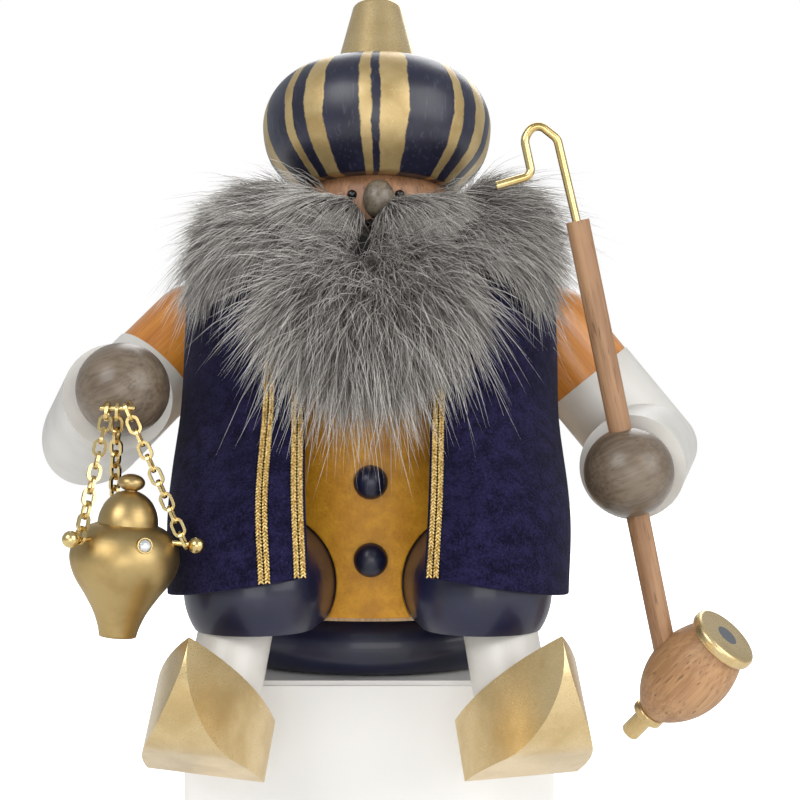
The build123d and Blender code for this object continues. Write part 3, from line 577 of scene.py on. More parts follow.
def felt_piece(node, grid):
    """A hanging piece of the coat, in the place of its CAD node."""
    name = node + "_felt"
    mesh = grid_mesh(name, grid, felt_thick, felt_ripple)
    declare_sheet(new_piece(name, mesh, navy_felt, "navy_felt", [node]), grid)


for side, sign in sides:
    felt_piece("coat_front_" + side, sheet_points(front_rows(sign), 28, 64))

# %% [markdown]
# ## Forms from a lathe
# The turban and the censer's jar are turned, so their meshes are rings of points about an axis,
# closed by one point at each end. Shares of the radius and the height give the outline. The
# turban's underside is pushed up wherever it would enter the head's ball.

# %% The turban's turned form
def closed_mesh(name, verts, faces):
    """A mesh whose faces all look outwards."""
    mesh = bpy.data.meshes.new(name)
    mesh.from_pydata(verts, [], faces)
    shape = bmesh.new()
    shape.from_mesh(mesh)
    bmesh.ops.recalc_face_normals(shape, faces=shape.faces[:])
    shape.to_mesh(mesh)
    shape.free()
    return mesh


def ringed_mesh(name, verts, turns):
    """Closed mesh through rings of points, between a first and a last point on the axis."""
    last = len(verts) - 1
    faces = []
    for turn in range(turns):
        after = (turn + 1) % turns
        faces.append((0, 1 + turn, 1 + after))
        for ring in range(1, last - turns, turns):
            faces.append((ring + turn, ring + turns + turn, ring + turns + after, ring + after))
        faces.append((last - turns + turn, last, last - turns + after))
    return closed_mesh(name, verts, faces)


turban_r, turban_up, turban_rim_r, turban_drop, finial_seat_r = 22.7, 12.3, 15.4, 12.9, 8.6
turban_out_shares = ((0.53, 0.955), (0.785, 0.77), (0.945, 0.43), (1.0, 0.0))
head_x, head_z, head_r = 0.9, 86.5, 15.2
head_room = 0.15


def turned_turban(turns=144, steps=56, flat_steps=6, under_steps=24):
    """Lathe form with a softly falling crown, hollowed below to sit on the head's ball."""
    side = [Vector((finial_seat_r, 0.0, turban_up))]
    side += [Vector((turban_r * out, 0.0, turban_up * up)) for out, up in turban_out_shares]
    side += [Vector((turban_r * 0.93, 0.0, -turban_drop * 0.52)), Vector((turban_rim_r, 0.0, -turban_drop))]
    marks = shares_of(side)
    profile = [Vector((finial_seat_r * step / flat_steps, 0.0, turban_up)) for step in range(1, flat_steps)]
    profile += [smooth_line(side, marks, step / steps) for step in range(steps + 1)]
    profile += [Vector((turban_rim_r * (1 - step / under_steps), 0.0, -turban_drop))
                for step in range(1, under_steps)]
    lean = Matrix.Rotation(-turban_tilt, 3, "X")
    ball = Vector((head_x, 0.0, head_z))
    up = lean @ Vector(UP)

    def placed(radius, height, angle):
        point = turban_centre + lean @ Vector((radius * math.sin(angle), -radius * math.cos(angle), height))
        inside = (head_r + head_room) ** 2 - (point - ball).length_squared
        if inside > 0.0:
            along = (point - ball).dot(up)
            point += up * (math.sqrt(along ** 2 + inside) - along)
        return point * MM

    verts = [placed(0.0, turban_up, 0.0)]
    for point in profile:
        verts += [placed(point.x, point.z, 2 * math.pi * turn / turns) for turn in range(turns)]
    verts.append(placed(0.0, -turban_drop, 0.0))
    return ringed_mesh("turban_turned", verts, turns)


piece = new_piece("turban_turned", turned_turban(), turban_paint, "turban_wood", ["turban"])
print("turban faces:", len(piece.data.polygons))

# %% [markdown]
# ## The jar's shoulder and its stone
# The jar has one full, round shoulder under its lid. The stone sits low on that shoulder, in a
# short brass pocket with a rolled rim. Eight sides and flat shading make it look cut.

# %% The censer's jar and its cut stone
def lathe_mesh(name, profile, centre, main, turns):
    """Closed form turned about an axis, from points of radius and height in millimetres."""
    side, across, along = axes_along(main)
    verts = [centre + along * profile[0][1]]
    for radius, height in profile[1:-1]:
        for turn in range(turns):
            angle = 2 * math.pi * turn / turns
            out = side * math.cos(angle) + across * math.sin(angle)
            verts.append(centre + along * height + out * radius)
    verts.append(centre + along * profile[-1][1])
    return ringed_mesh(name, [vert * MM for vert in verts], turns)


jar_height, jar_steps = 18.5, 44
jar_side = [Vector((radius, 0.0, height)) for radius, height in (
    (3.05, 0.0), (3.35, 1.4), (4.35, 3.9), (6.05, 6.7), (7.95, 9.5),
    (8.95, 12.3), (8.75, 14.6), (7.75, 16.6), (6.3, 17.9), (5.0, jar_height))]
marks = shares_of(jar_side)
on_side = [smooth_line(jar_side, marks, step / jar_steps) for step in range(jar_steps + 1)]
jar_profile = [(0.0, 0.0), (2.6, 0.0), (2.95, -0.02)] + [(point.x, point.z) for point in on_side] + [
    (4.0, jar_height), (3.7, jar_height - 0.4), (3.6, jar_height - 4.0), (0.0, jar_height - 4.2)]
pocket_profile = ((0.0, -0.8), (1.3, -0.8), (1.3, 0.14), (1.22, 0.24), (1.06, 0.18), (1.04, -0.1),
                  (0.0, -0.1))
stone_profile = ((0.0, -0.08), (0.9, -0.08), (1.03, 0.12), (0.86, 0.34), (0.5, 0.46), (0.0, 0.46))
stone_angle, stone_rise, stone_height, stone_out = math.radians(31.0), 0.12, 14.6, 8.6
stone_way = Vector((math.sin(stone_angle), -math.cos(stone_angle), stone_rise)).normalized()
stone_seat = jar_foot + jar_axis * stone_height + stone_way * stone_out
for name, profile, foot, main, turns, material, slot_name, node in (
        ("censer_jar_turned", jar_profile, jar_foot, jar_axis, 96, jar_brass, "satin_brass", "censer_jar"),
        ("censer_stone_pocket", pocket_profile, stone_seat, stone_way, 48, drawn_brass, "satin_brass",
         "censer_jar"),
        ("censer_stone_cut", stone_profile, stone_seat, stone_way, 8, clear_stone, "clear_stone",
         "censer_stone")):
    mesh = lathe_mesh(name, profile, foot, main, turns)
    piece = new_piece(name, mesh, material, slot_name, [node], "censer")
    print(name, "faces:", len(piece.data.polygons))
piece.data.shade_flat()

# %% The coat's back
neck_hole = 16.8 * MM
back_shares = ((1.045, 0.554, 0.355, 1.138), (1.045, 0.477, 0.658, 1.095), (1.045, 0.449, 0.855, 1.065),
               (1.045, 0.418, 1.007, 0.911), (1.045, 0.246, 1.082, 0.431), (1.045, 0.009, 1.105, 0.009))
back_rows = [[Vector((torso_r * aside, torso_r * behind, torso_top * z))
              for aside, behind in ((-x, y), (0.0, middle), (x, y))] for x, y, z, middle in back_shares]


def to_neck(line, marks, steps=60):
    """Share of a column's length at which the felt reaches the neck hole."""
    for step in range(steps + 1):
        point = smooth_line(line, marks, step / steps)
        if math.hypot(point.x, point.y) < neck_hole:
            return step / steps
    return 1.0


felt_piece("coat_back", sheet_points(back_rows, 48, 56, to_neck))

# %% [markdown]
# ## The vest
# A strip of ochre leather lies round the torso's front and narrows where the thighs come out.
# Leather shows fine pits.

# %% Vest of leather
vest_r, vest_low, vest_top, vest_half = 32.87, 11.2, 60.0, 15.5
thigh_r, thigh_aside, thigh_z = 12.5, 18.2, 17.4


def vest_half_width(height):
    """Half width of the vest, cut round the thighs with a little room."""
    rise = height - thigh_z
    if abs(rise) < thigh_r:
        return min(vest_half, thigh_aside - math.sqrt(thigh_r ** 2 - rise ** 2))
    return vest_half


def vest_grid(rows=60, half_columns=16):
    grid = []
    for row in range(rows + 1):
        height = vest_low + (vest_top - vest_low) * row / rows
        half = vest_half_width(height)
        across = [half * (column / half_columns - 1) for column in range(2 * half_columns + 1)]
        grid.append([Vector((x, -math.sqrt(vest_r ** 2 - x ** 2), height)) * MM for x in across])
    return grid


leather = Finish("ochre leather")
pits = leather.node("ShaderNodeTexVoronoi", None, {"Vector": leather.place, "Scale": 1500.0})
hide = leather.noise(210.0, 4.0, 0.65)
tone = leather.mix(leather.ease(hide, 0.32, 0.7), paint(194, 130, 20), paint(222, 158, 38))
tone = leather.mix(leather.ease(pits, 0.0, 0.35, 0.35, 0.0), tone, paint(150, 98, 16))
ochre_leather = leather.surface(tone, 0.5 + (hide - 0.5) * 0.2, pits * 0.7 + hide * 0.5, 0.00012, 0.7,
                                Specular_IOR_Level=0.4)
grid = vest_grid()
vest = new_piece("vest_leather", grid_mesh("vest_leather", grid, 0.85 * MM), ochre_leather, "ochre_leather",
                 ["vest"])
declare_sheet(vest, grid)

# %% [markdown]
# ## Braids that follow a line
# The gold edging is a flat plait of metallic thread. Seen close, it is four rows of slanting
# stitches that meet like two rows of arrows. We store on each point of the line which way the
# line runs and which way it faces, and Geometry Nodes place a stitch there for every row.

# %% A modifier's tree
class Modifier(Graph):
    """A Geometry Nodes tree with named inputs."""

    def __init__(self, name, inputs, materials):
        super().__init__(bpy.data.node_groups.new(name, "GeometryNodeTree"))
        sockets = self.tree.interface
        sockets.new_socket("Geometry", in_out="OUTPUT", socket_type="NodeSocketGeometry")
        sockets.new_socket("Geometry", in_out="INPUT", socket_type="NodeSocketGeometry")
        for title, value in inputs.items():
            kind = "NodeSocketInt" if isinstance(value, int) else "NodeSocketFloat"
            sockets.new_socket(title, in_out="INPUT", socket_type=kind).default_value = value
        for title in materials:
            sockets.new_socket(title, in_out="INPUT", socket_type="NodeSocketMaterial")
        self.source = self.node("NodeGroupInput").socket.node

    def given(self, name):
        return Term(self, self.source.outputs[name])

    def named(self, name, kind="FLOAT_VECTOR"):
        return self.node("GeometryNodeInputNamedAttribute", {"data_type": kind}, {"Name": name})

    def close(self, instances, material):
        """Makes the instances real, gives them their material and hands them out."""
        real = self.node("GeometryNodeRealizeInstances", None, {0: instances})
        dressed = self.node("GeometryNodeSetMaterial", None,
                            {"Geometry": real, "Material": self.given(material)})
        self.node("NodeGroupOutput", None, {0: dressed})
        return self.tree


def node_modifier(piece, tree, values):
    """Adds a Geometry Nodes modifier with its inputs set by their identifiers."""
    modifier = piece.modifiers.new("nodes", "NODES")
    modifier.node_group = tree
    for item in tree.interface.items_tree:
        if item.item_type == "SOCKET" and item.in_out == "INPUT" and item.name in values:
            modifier[item.identifier] = values[item.name]


def store_vectors(mesh, title, vectors):
    """Stores one vector on each point of a mesh."""
    layer = mesh.attributes.new(title, "FLOAT_VECTOR", "POINT")
    for number, vector in enumerate(vectors):
        layer.data[number].vector = vector


print("modifier helpers ready")

# %% One stitch and the plait tree
stitch_rows = ((-1.9, 1.0), (-0.95, -1.0), (0.95, 1.0), (1.9, -1.0))


def plait_tree():
    """Slanting stitches in four rows, each given by its gaps from the middle and its slant's sign."""
    graph = Modifier("plait", {"Stitch length": 0.0009, "Stitch width": 0.0002, "Row gap": 0.0005,
                               "Slant": 0.6}, ["Thread"])
    given = graph.given
    ahead, facing = graph.named("ahead"), graph.named("facing")
    across = graph.node("ShaderNodeVectorMath", {"operation": "CROSS_PRODUCT"}, {0: ahead, 1: facing})
    stitch = graph.node("GeometryNodeMeshUVSphere", None, {"Segments": 8, "Rings": 5, "Radius": 1.0})
    size = graph.vector(given("Stitch width"), given("Stitch width") * 0.8, given("Stitch length") * 0.5)
    joined = graph.node("GeometryNodeJoinGeometry")
    for place, sign in stitch_rows:
        slanted = ahead + across * (given("Slant") * sign)
        turn = graph.node("FunctionNodeAlignRotationToVector", {"axis": "Z"}, {"Vector": slanted})
        turn = graph.node("FunctionNodeAlignRotationToVector", {"axis": "Y", "pivot_axis": "Z"},
                          {"Rotation": turn, "Vector": facing})
        points = graph.node("GeometryNodeMeshToPoints", None, {0: given("Geometry")})
        moved = graph.node("GeometryNodeSetPosition", None,
                           {"Geometry": points, "Offset": across * (given("Row gap") * place)})
        row = graph.node("GeometryNodeInstanceOnPoints", None,
                         {"Points": moved, "Instance": stitch, "Rotation": turn, "Scale": size})
        graph.feed(joined.socket.node.inputs[0], row)
    return graph.close(joined, "Thread")


thread = Finish("gold thread")
twist = thread.noise(3000.0, 2.0, 0.6)
worn = thread.noise(500.0)
tone = thread.mix(thread.ease(twist, 0.35, 0.65), paint(168, 128, 54), paint(244, 216, 146))
tone = thread.mix(thread.ease(worn, 0.55, 0.75) * 0.5, tone, paint(120, 92, 44))
gold_thread = thread.surface(tone, 0.32 + (twist - 0.5) * 0.3, twist, 0.00008, 0.8, Metallic=0.85)
plait = plait_tree()
braid_stand, stitch_step = 1.3 * MM, 0.56 * MM
braid_low, braid_high = 0.004, 0.58


def panel_line(side, share):
    """Points up a front panel at a share of its width, with their run and their facing."""
    rows = front_rows(side)
    line = [arc_point(row, share) for row in rows]
    beside = [arc_point(row, share + 0.02) for row in rows]
    marks, marks_beside = shares_of(line), shares_of(beside)
    length = sum((b - a).length for a, b in zip(line, line[1:]))
    count = int((braid_high - braid_low) * length / stitch_step)
    points = []
    for number in range(count + 1):
        along = braid_low + (braid_high - braid_low) * number / count
        point = smooth_line(line, marks, along)
        ahead = (smooth_line(line, marks, along + 0.01) - point).normalized()
        aside = smooth_line(beside, marks_beside, along) - point
        facing = (ahead.cross(aside) * -side).normalized()
        points.append((point + facing * braid_stand, ahead, facing))
    return points


for node, side, share in (("braid_left_outer", -1, 0.172), ("braid_left_inner", -1, 0.037),
                          ("braid_right", 1, 0.037)):
    name = node + "_plait"
    places, aheads, facings = zip(*panel_line(side, share))
    base = bpy.data.meshes.new(name + " line")
    base.from_pydata(places, [], [])
    store_vectors(base, "ahead", aheads)
    store_vectors(base, "facing", facings)
    line = new_object(name + " line", base)
    node_modifier(line, plait, {"Stitch length": 1.0 * MM, "Stitch width": 0.2 * MM, "Row gap": 0.38 * MM,
                                "Slant": 0.7, "Thread": gold_thread})
    piece = new_piece(name, finished(line, name), gold_thread, "gold_braid", [node])
    print(name, "faces:", len(piece.data.polygons))

# %% [markdown]
# ## Fur
# The hair and the beard are strips of rabbit pelt: a dense dark underwool, and longer guard
# hairs with silver tips that lie the way the pelt was combed. A solid lump can only give its
# size. So each lump gets thousands of real strands: points scattered on its skin, a line at
# each point, bent from the skin's normal towards the combed direction, and a tapered tube
# along it. Two stored numbers, the place along the strand and a tint for each strand, drive
# its colour.

# %% The strand tree
def pelt_tree():
    """Tapered tubes on scattered points, bent from the skin's normal towards the comb."""
    graph = Modifier("pelt", {
        "Density": 1000.0, "Strand length": 0.008, "Strand radius": 0.0001, "Rise": 0.6, "Fall": 0.3,
        "Spread": 0.2, "Lock": 0.4, "Seed": 0}, ["Hair"])
    given, named = graph.given, graph.named

    def store(geometry, name, value, kind="FLOAT_VECTOR"):
        return graph.node("GeometryNodeStoreNamedAttribute", {"data_type": kind, "domain": "POINT"},
                          {"Geometry": geometry, "Name": name, "Value": value})

    def chance(low, high, shift):
        return graph.node("FunctionNodeRandomValue", {"data_type": "FLOAT"},
                          {2: low, 3: high, "Seed": given("Seed") + shift}, out=1)

    points = graph.node("GeometryNodeDistributePointsOnFaces", {"distribute_method": "RANDOM"},
                        {"Mesh": given("Geometry"), "Density": given("Density"), "Seed": given("Seed")})
    normal = Term(graph, points.socket.node.outputs["Normal"])
    root = graph.node("GeometryNodeInputPosition")
    stray = graph.node("FunctionNodeRandomValue", {"data_type": "FLOAT_VECTOR"},
                       {0: (-1.0, -1.0, -1.0), 1: (1.0, 1.0, 1.0), "Seed": given("Seed") + 3})
    cloud = graph.node("ShaderNodeTexNoise", None, {"Vector": root, "Scale": 230.0, "Detail": 1.0},
                       out="Color")
    lock = graph.node("ShaderNodeVectorMath", {"operation": "SUBTRACT"}, {0: cloud, 1: (0.5, 0.5, 0.5)})
    held = store(points, "skin", normal)
    held = store(held, "root", root)
    held = store(held, "lean", stray * given("Spread") + lock * given("Lock") * 2.0)
    held = store(held, "reach", chance(0.55, 1.15, 1), "FLOAT")
    held = store(held, "tint", chance(0.0, 1.0, 2), "FLOAT")
    line = graph.node("GeometryNodeCurvePrimitiveLine", None, {"End": (0.0, 0.0, 0.001)})
    line = graph.node("GeometryNodeResampleCurve", None, {"Curve": line, "Count": line_points})
    hairs = graph.node("GeometryNodeInstanceOnPoints", None, {"Points": held, "Instance": line})
    hairs = graph.node("GeometryNodeRealizeInstances", None, {0: hairs})
    t = graph.node("GeometryNodeSplineParameter")
    size = given("Strand length") * named("reach", "FLOAT")
    up = named("skin") * (given("Rise") * (t - t * t * 0.55))
    into = graph.calc("MINIMUM", named("comb").dot(named("skin")), 0.0)
    along = (named("comb") - named("skin") * into) * (t * 0.35 + t * t * 0.65)
    down = graph.vector(0.0, 0.0, -1.0) * (given("Fall") * t * t)
    path = named("root") + (up + along + down + named("lean") * t) * size
    hairs = graph.node("GeometryNodeSetPosition", None, {"Geometry": hairs, "Position": path})
    hairs = store(hairs, "tip", t, "FLOAT")
    ring = graph.node("GeometryNodeCurvePrimitiveCircle", None, {"Resolution": ring_points, "Radius": 1.0})
    taper = given("Strand radius") * (1.04 - t * t)
    tubes = graph.node("GeometryNodeCurveToMesh", None,
                       {"Curve": hairs, "Profile Curve": ring, "Scale": taper, "Fill Caps": True})
    return graph.close(tubes, "Hair")


line_points, ring_points = 4, 3
pelt = pelt_tree()
print("strand tree ready")

# %% Fur finish
def fur_finish(name, root, body, tip, bright):
    """Dark at the root, grey along the strand, and pale at the tip of most strands."""
    finish = Finish(name)
    along, tint = finish.attribute("tip"), finish.attribute("tint")
    patch = finish.noise(110.0)
    grey = finish.mix(finish.ease(along, 0.0, 0.45), root, body)
    pale = finish.ease(tint + (patch - 0.5) * 0.5, 1.0 - bright, 1.15 - bright)
    colour = finish.mix(finish.ease(along, 0.35, 0.95) * pale, grey, tip)
    colour = finish.mix(finish.ease(tint, 0.0, 0.3, 0.35, 0.0), colour, root)
    return finish.surface(colour, 0.55, Specular_IOR_Level=0.35)


mouth_x, mouth_top, mouth_low, mouth_lean, mouth_line = 0.2, 84.5, 75.4, 0.19, 15.86


def wool_finish():
    """Dense dark wool, with painted shade: a near-black line in the slit between the two halves of the
    moustache.
    """
    finish = Finish("underwool")
    fuzz = finish.noise(900.0, 3.0, 0.7)
    tone = finish.mix(fuzz, paint(56, 52, 49), paint(108, 102, 97))
    from_line = finish.calc("ABSOLUTE", finish.place.dot((1.0, 0.0, -mouth_lean)) + mouth_line * MM)
    rise = finish.place.dot(UP)
    # painted shade: the wool turns near-black along the slit between the moustache's halves
    slit_shade = finish.ease(from_line, 0.9 * MM, 1.8 * MM, 1.0, 0.0) * finish.ease(
        rise, (mouth_low - 0.9) * MM, (mouth_low + 0.4) * MM)
    return finish.surface(finish.mix(slit_shade, tone, paint(12, 10, 10)), 0.9, fuzz, 0.0005, 1.0)


hair_grey = fur_finish("grey fur", paint(66, 61, 57), paint(130, 124, 119), paint(200, 195, 188), 0.5)
hair_pale = fur_finish("pale fur", paint(90, 84, 79), paint(172, 166, 159), paint(248, 245, 238), 0.8)
underwool = wool_finish()
print("grey, pale and dark fur ready")

# %% [markdown]
# ## The lumps under the fur
# Each strip of pelt starts from a lumpy core that stays well inside its CAD solid, so that the
# tips of the strands end near the solid's skin. The combed direction is stored on the core's
# points. It fans out from the foot of the nose, and hangs more the lower it lies.

# %% Cores and their comb
beard_shares = ((1.050, -0.660, 0.600, 0.180), (0.930, -1.060, 0.665, 0.225), (0.789, -1.342, 0.683, 0.222),
                (0.684, -1.446, 0.628, 0.197), (0.605, -1.520, 0.418, 0.148), (0.561, -1.557, 0.185, 0.080))


def store_comb(mesh, comb):
    store_vectors(mesh, "comb", [comb(vert.co / MM).normalized() for vert in mesh.vertices])


def lump(name, centre, half, shrink, comb, square=1.0, rough=0.0006, rings=24):
    """An egg-shaped core, squarer for a power below 1, with a comb direction on each point."""
    def placed(x, y, z):
        way = Vector((x, y, z))
        out = [math.copysign(abs(share) ** square, share) for share in way]
        place = Vector([centre[i] + out[i] * half[i] * shrink for i in range(3)]) * MM
        return place + way * noise.noise(place * 260.0) * rough

    turns = rings * 2
    verts = [placed(0.0, 0.0, 1.0)]
    for ring in range(1, rings):
        low = math.pi * ring / rings
        for turn in range(turns):
            angle = 2 * math.pi * turn / turns
            verts.append(placed(math.sin(low) * math.cos(angle), math.sin(low) * math.sin(angle), math.cos(low)))
    verts.append(placed(0.0, 0.0, -1.0))
    mesh = ringed_mesh(name, verts, turns)
    store_comb(mesh, comb)
    return mesh


nose_x, nose_z = 0.5, 86.0


def fan(point):
    """Outwards from the nose's foot, and down."""
    away = Vector((point.x - nose_x, 0.0, point.z - nose_z)).normalized()
    return away * 0.8 + Vector((0.0, -0.14, -0.75))


def beside_head(sign):
    def comb(point):
        low = max(0.0, min(1.0, (97.0 - point.z) / 36.0))
        return Vector((sign * (0.95 - 0.6 * low), -0.1, 0.2 - 1.35 * low))
    return comb


def behind_head(point):
    return Vector((point.x * 0.03, 0.6, -1.0))


def beard_core(name, shrink, reach, turns=48, steps=28, narrow_from=0.55):
    """Closed core through the upper levels of the beard, narrowed towards its low end."""
    centres = [Vector((0.0, torso_r * y, torso_top * z)) for z, y, wide, deep in beard_shares]
    widths = [Vector((torso_r * wide, torso_r * deep, 0.0)) for z, y, wide, deep in beard_shares]
    marks = shares_of(centres)
    verts = []
    for step in range(steps + 1):
        low = max(0.0, step / steps - narrow_from) / (1.0 - narrow_from)
        centre = smooth_line(centres, marks, reach * step / steps)
        width = smooth_line(widths, marks, reach * step / steps) * shrink * math.sqrt(1.0 - 0.9 * low ** 2)
        for turn in range(turns):
            angle = 2 * math.pi * turn / turns
            place = centre + Vector((width.x * math.cos(angle), width.y * math.sin(angle), 0.0))
            verts.append(place + Vector((0.3, -0.6, 1)) * noise.noise(place * 250.0) * 0.0009)
    faces = []
    for ring in range(0, steps * turns, turns):
        for turn in range(turns):
            a, b = ring + turn, ring + (turn + 1) % turns
            faces.append((a, a + turns, b + turns, b))
    faces.append(tuple(range(turns)))
    faces.append(tuple(range(steps * turns, (steps + 1) * turns))[::-1])
    mesh = closed_mesh(name, verts, faces)
    store_comb(mesh, fan)
    return mesh


print("cores and combs defined")

# %% Clearing strands away from the face, the wire and the wood
wire_y = -38.0
wire_shares = ((2.11, 0.60), (1.86, 0.80), (1.73, 0.60), (1.82, 0.18), (1.41, 0.06))
wire_points = [np.array((36.5, wire_y, 81.3))]
wire_points += [np.array((head_x + head_r * x, wire_y, head_z + head_r * z)) for x, z in wire_shares]
eye_places = ((-3.65, 89.1), (5.45, 89.1))
before_head = -8.0


def run_distance(places, start, end):
    """Distance of each place from a straight run."""
    line = end - start
    share = np.clip(((places - start) @ line) / (line @ line), 0.0, 1.0)
    return np.linalg.norm(places - (start + share[:, None] * line), axis=1)


def in_the_way(places):
    """True for each place, in millimetres, that a strand must not pass."""
    x, y, z = places.T
    bad = np.zeros(len(places), bool)
    # the pipe's wire, with its half width and a little room
    for start, end in zip(wire_points, wire_points[1:]):
        bad |= run_distance(places, start, end) < 1.3
    # the slit between the moustache's halves
    slit = mouth_x - (mouth_top - z) * mouth_lean
    bad |= (np.abs(x - slit) < 0.7) & (y < before_head) & (z > mouth_low) & (z < mouth_top + 0.1)
    # the nose and the eyes
    bad |= (np.hypot(x - 0.3, (z - 88.0) * 0.85) < 3.2) & (y < -12.0)
    for place_x, place_z in eye_places:
        bad |= (np.hypot(x - place_x, z - place_z) < 1.5) & (y < before_head)
    # the bare face under the turban
    brow = 87.2 + np.abs(x - head_x) * 0.1
    bad |= (np.hypot(x - 1.6, (z - 84.6) * 1.25) < 13.0) & (y < -6.0) & (z > brow)
    # the head's ball, and the turban with its rounded underside
    bad |= (x - head_x) ** 2 + y ** 2 + (z - head_z) ** 2 < (head_r - 0.1) ** 2
    bad |= (np.hypot(x - head_x, y) < 22.6 - 0.012 * (104.0 - z) ** 2) & (z > 92.0)
    return bad


def cleared(mesh, per_strand=line_points * ring_points):
    """Drops each strand that has a point in the way."""
    flat = np.empty(len(mesh.vertices) * 3)
    mesh.vertices.foreach_get("co", flat)
    bad = in_the_way(flat.reshape(-1, 3) / MM).reshape(-1, per_strand).any(axis=1)
    shape = bmesh.new()
    shape.from_mesh(mesh)
    shape.verts.ensure_lookup_table()
    gone = [shape.verts[strand * per_strand + k] for strand in np.nonzero(bad)[0] for k in range(per_strand)]
    bmesh.ops.delete(shape, geom=gone, context="VERTS")
    shape.to_mesh(mesh)
    shape.free()
    return int(bad.sum())


print("places kept clear: wire runs", len(wire_points) - 1, "and eyes", len(eye_places))

# %% [markdown]
# ## Coats of strands
# Every mass of fur has a short dense coat and most have longer guard hairs over it. One table
# holds their numbers: how many strands, their length and radius in millimetres, how steeply
# they rise and fall, how far they spread and lock, and the seed. The wool under them is the
# core itself.

# %% Coats of strands
coats = {
    "hair_under": (7400, 7.0, 0.078, 0.5, 0.15, 0.25, 0.45, 11, hair_grey),
    "hair_guard": (3200, 9.5, 0.055, 0.55, 0.2, 0.5, 0.6, 31, hair_pale),
    "hair_under_nape": (4500, 7.5, 0.11, 0.5, 0.2, 0.25, 0.35, 5, hair_grey),
    "hair_shoulder": (6400, 7.5, 0.078, 0.5, 0.15, 0.28, 0.45, 91, hair_grey),
    "hair_shoulder_guard": (2600, 9.5, 0.055, 0.5, 0.2, 0.45, 0.6, 95, hair_pale),
    "beard_under": (8400, 8.0, 0.078, 0.42, 0.1, 0.28, 0.5, 7, hair_grey),
    "beard_guard": (7600, 11.0, 0.06, 0.44, 0.1, 0.65, 0.7, 8, hair_pale),
    "moustache_under": (6900, 7.0, 0.073, 0.38, 0.12, 0.25, 0.4, 51, hair_pale),
    "moustache_guard": (2200, 10.5, 0.055, 0.42, 0.2, 0.6, 0.6, 71, hair_pale),
}


def fur_piece(name, mesh, material):
    """A piece of fur, which stands for the CAD lump that its name begins with."""
    return new_piece(name, mesh, material, "rabbit_fur", [name.split("_")[0] + "_fur"])


def strands(coat, core, end="", shift=0):
    """Scatters a coat of strands on a copy of a core."""
    count, length, radius, rise, fall, spread, lock, seed, material = coats[coat]
    name = coat + end
    carrier = new_object(name + " skin", core.copy())
    area = sum(face.area for face in core.polygons)
    node_modifier(carrier, pelt, {
        "Density": count / area, "Strand length": length * MM, "Strand radius": radius * MM,
        "Rise": rise, "Fall": fall, "Spread": spread, "Lock": lock, "Seed": seed + shift, "Hair": material})
    mesh = finished(carrier, name)
    dropped = cleared(mesh)
    fur_piece(name, mesh, material)
    triangles = sum(len(face.vertices) - 2 for face in mesh.polygons)
    print(name, "strands dropped:", dropped, "triangles:", triangles)


for side, sign in sides:
    core = lump("side_core_" + side, (1.9 + sign * 20.8, -12.0, 78.5), (11.4, 15.5, 18.5), 0.62,
                beside_head(sign), 0.8)
    fur_piece("hair_wool_" + side, core, underwool)
    for coat in ("hair_under", "hair_guard"):
        strands(coat, core, "_" + side, sign)
core = lump("nape_core", (head_x, 19.0, 84.0), (24.0, 9.0, 14.0), 0.74, behind_head)
fur_piece("hair_wool_nape", core, underwool)
strands("hair_under_nape", core)

# %% [markdown]
# ## The pelt over the coat's shoulders
# The hair beside the head lies on the coat. We take the top of each front panel, lift it to the
# felt's outer face for the wool, and scatter strands on a second layer just above that.

# %% Fur on the shoulders
def shoulder_grid(side, lowest=65.5, columns=11):
    """The part of a front panel above a height, moved out to the felt's outer face."""
    rows = [row for row in sheet_points(front_rows(side), 16, 64) if min(p.z for p in row) > lowest * MM]
    return [[point + from_axis(point) * 1.4 * MM for point in row[:columns]] for row in rows]


def over_shoulder(point):
    """Outwards from the nose, and hanging."""
    way = fan(point)
    return Vector((way.x * 0.6, way.y - 0.05, way.z - 0.25))


for side, sign in sides:
    grid = shoulder_grid(sign)
    name = "hair_wool_shoulder_" + side
    fur_piece(name, grid_mesh(name, grid, 1.8 * MM, 0.5 * MM), underwool)
    patch = open_mesh("shoulder_patch_" + side, [[p + from_axis(p) * 1.0 * MM for p in row] for row in grid])
    store_comb(patch, over_shoulder)
    for coat in ("hair_shoulder", "hair_shoulder_guard"):
        strands(coat, patch, "_" + side, sign)

# %% Beard and moustache
core = beard_core("beard_core", 0.75, 0.70)
fur_piece("beard_wool", core, underwool)
for end, shift in (("_one", 0), ("_two", 10)):
    strands("beard_under", core, end, shift)
strands("beard_guard", core)
for side, sign in sides:
    core = lump("tache_core_" + side, (0.1 + sign * 9.1, -19.4, 80.2), (9.4, 7.4, 8.8), 0.84, fan, 0.6)
    fur_piece("moustache_wool_" + side, core, underwool)
    for coat in ("moustache_under", "moustache_guard"):
        strands(coat, core, "_" + side, sign)

# %% [markdown]
# ## Camera and light
# The picture was taken from straight in front, a little below the figure's middle, at about
# the distance of an arm. Four soft lamps stand round it, the strongest at the front left.

# %% Camera, lamps and backdrop
scene = bpy.context.scene
scene.view_settings.view_transform = "Standard"
eye = bpy.data.cameras.new("front camera")
eye.lens = 67.5
eye.clip_start = 0.01
camera = new_object("front camera", eye)
camera.location = (5.5 * MM, -300 * MM, 50 * MM)
camera.rotation_euler = (math.radians(90.0), 0.0, 0.0)
scene.camera = camera

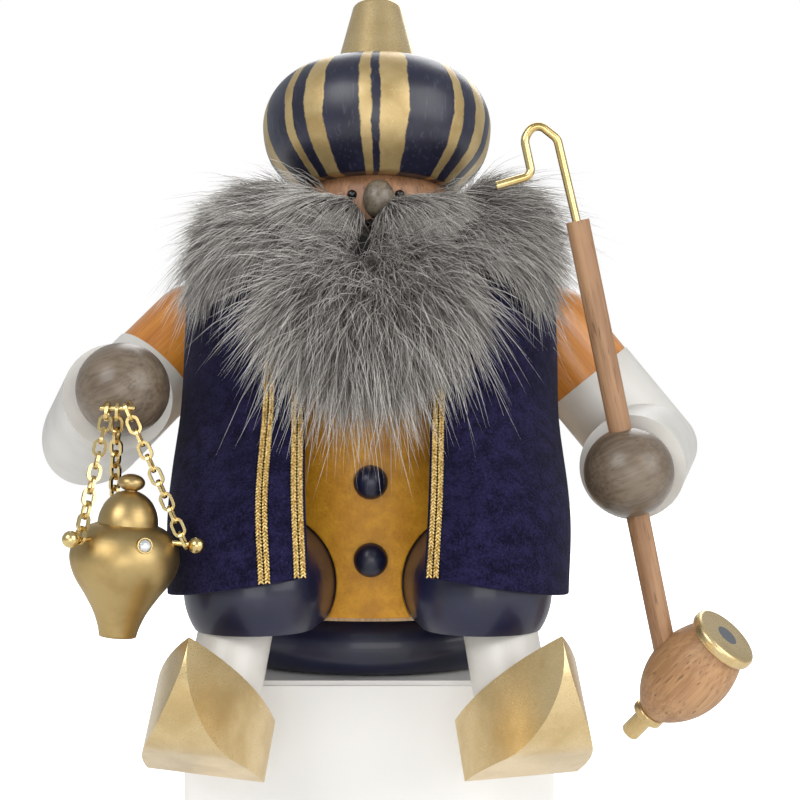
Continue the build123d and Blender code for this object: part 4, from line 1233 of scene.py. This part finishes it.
aim = Vector((0.0, 0.0, 0.05))
for name, place, size, power in (("key softbox", (-0.45, -0.65, 0.55), 0.5, 3.3),
                                 ("fill softbox", (0.6, -0.5, 0.35), 0.6, 3.2),
                                 ("front softbox", (0.05, -0.85, -0.02), 0.5, 2.2),
                                 ("back softbox", (0.1, 0.6, 0.6), 0.6, 3.0)):
    light = bpy.data.lights.new(name, "AREA")
    light.shape = "SQUARE"
    light.size = size
    light.energy = power
    stand = new_object(name, light)
    stand.location = place
    stand.rotation_euler = (aim - Vector(place)).to_track_quat("-Z", "Y").to_euler()

world = bpy.data.worlds.new("studio")
scene.world = world
world.use_nodes = True
studio = Graph(world.node_tree)
world.node_tree.nodes.clear()
path = studio.node("ShaderNodeLightPath", out="Is Camera Ray")
shine = studio.node("ShaderNodeLightPath", out="Is Transmission Ray")
seen = studio.calc("MAXIMUM", path, shine)
soft = studio.node("ShaderNodeBackground", None, {"Color": (0.9, 0.95, 1.0, 1.0), "Strength": 0.45})
sheet = studio.node("ShaderNodeBackground", None, {"Color": (1.0, 1.0, 1.0, 1.0), "Strength": 1.0})
both = studio.node("ShaderNodeMixShader", None, {0: seen, 1: soft, 2: sheet})
studio.node("ShaderNodeOutputWorld", None, {0: both})

floor_z, floor_half = -0.055, 1.2
floor_mesh = bpy.data.meshes.new("floor")
floor_mesh.from_pydata([(x * floor_half, y * floor_half, floor_z)
                        for x, y in ((-1, -1), (1, -1), (1, 1), (-1, 1))], [], [(0, 1, 2, 3)])
floor = new_object("floor", floor_mesh)
pale = Finish("floor")
seen = pale.node("ShaderNodeLightPath", out="Is Camera Ray")
aside, depth = (pale.calc("ABSOLUTE", pale.place.dot(way)) for way in ((1.0, 0.0, 0.0), (0.0, 1.0, 0.0)))
away = pale.calc("MAXIMUM", aside, depth)
far = pale.mix(pale.ease(away, 0.05, 0.35), paint(175, 175, 175), paint(255, 255, 255))
floor_mesh.materials.append(pale.surface(paint(246, 245, 243), 0.9, Emission_Strength=1.0,
                                         Emission_Color=pale.mix(seen, paint(0, 0, 0), far)))

plinth_side, plinth_top = 0.066, -0.0001
plinth_mesh = bpy.data.meshes.new("plinth")
shape = bmesh.new()
bmesh.ops.create_cube(shape, size=1.0)
for vert in shape.verts:
    vert.co.x *= plinth_side
    vert.co.y *= plinth_side
    vert.co.z = plinth_top if vert.co.z > 0 else floor_z
bmesh.ops.bevel(shape, geom=shape.edges[:], offset=0.0008, segments=2, affect="EDGES")
shape.to_mesh(plinth_mesh)
shape.free()
plinth = new_object("plinth", plinth_mesh)
chalk = Finish("chalk plinth")
plinth_mesh.materials.append(chalk.surface(
    chalk.mix(chalk.noise(30.0), paint(240, 238, 234), paint(236, 234, 230)), 0.7))
print("camera at", tuple(camera.location))
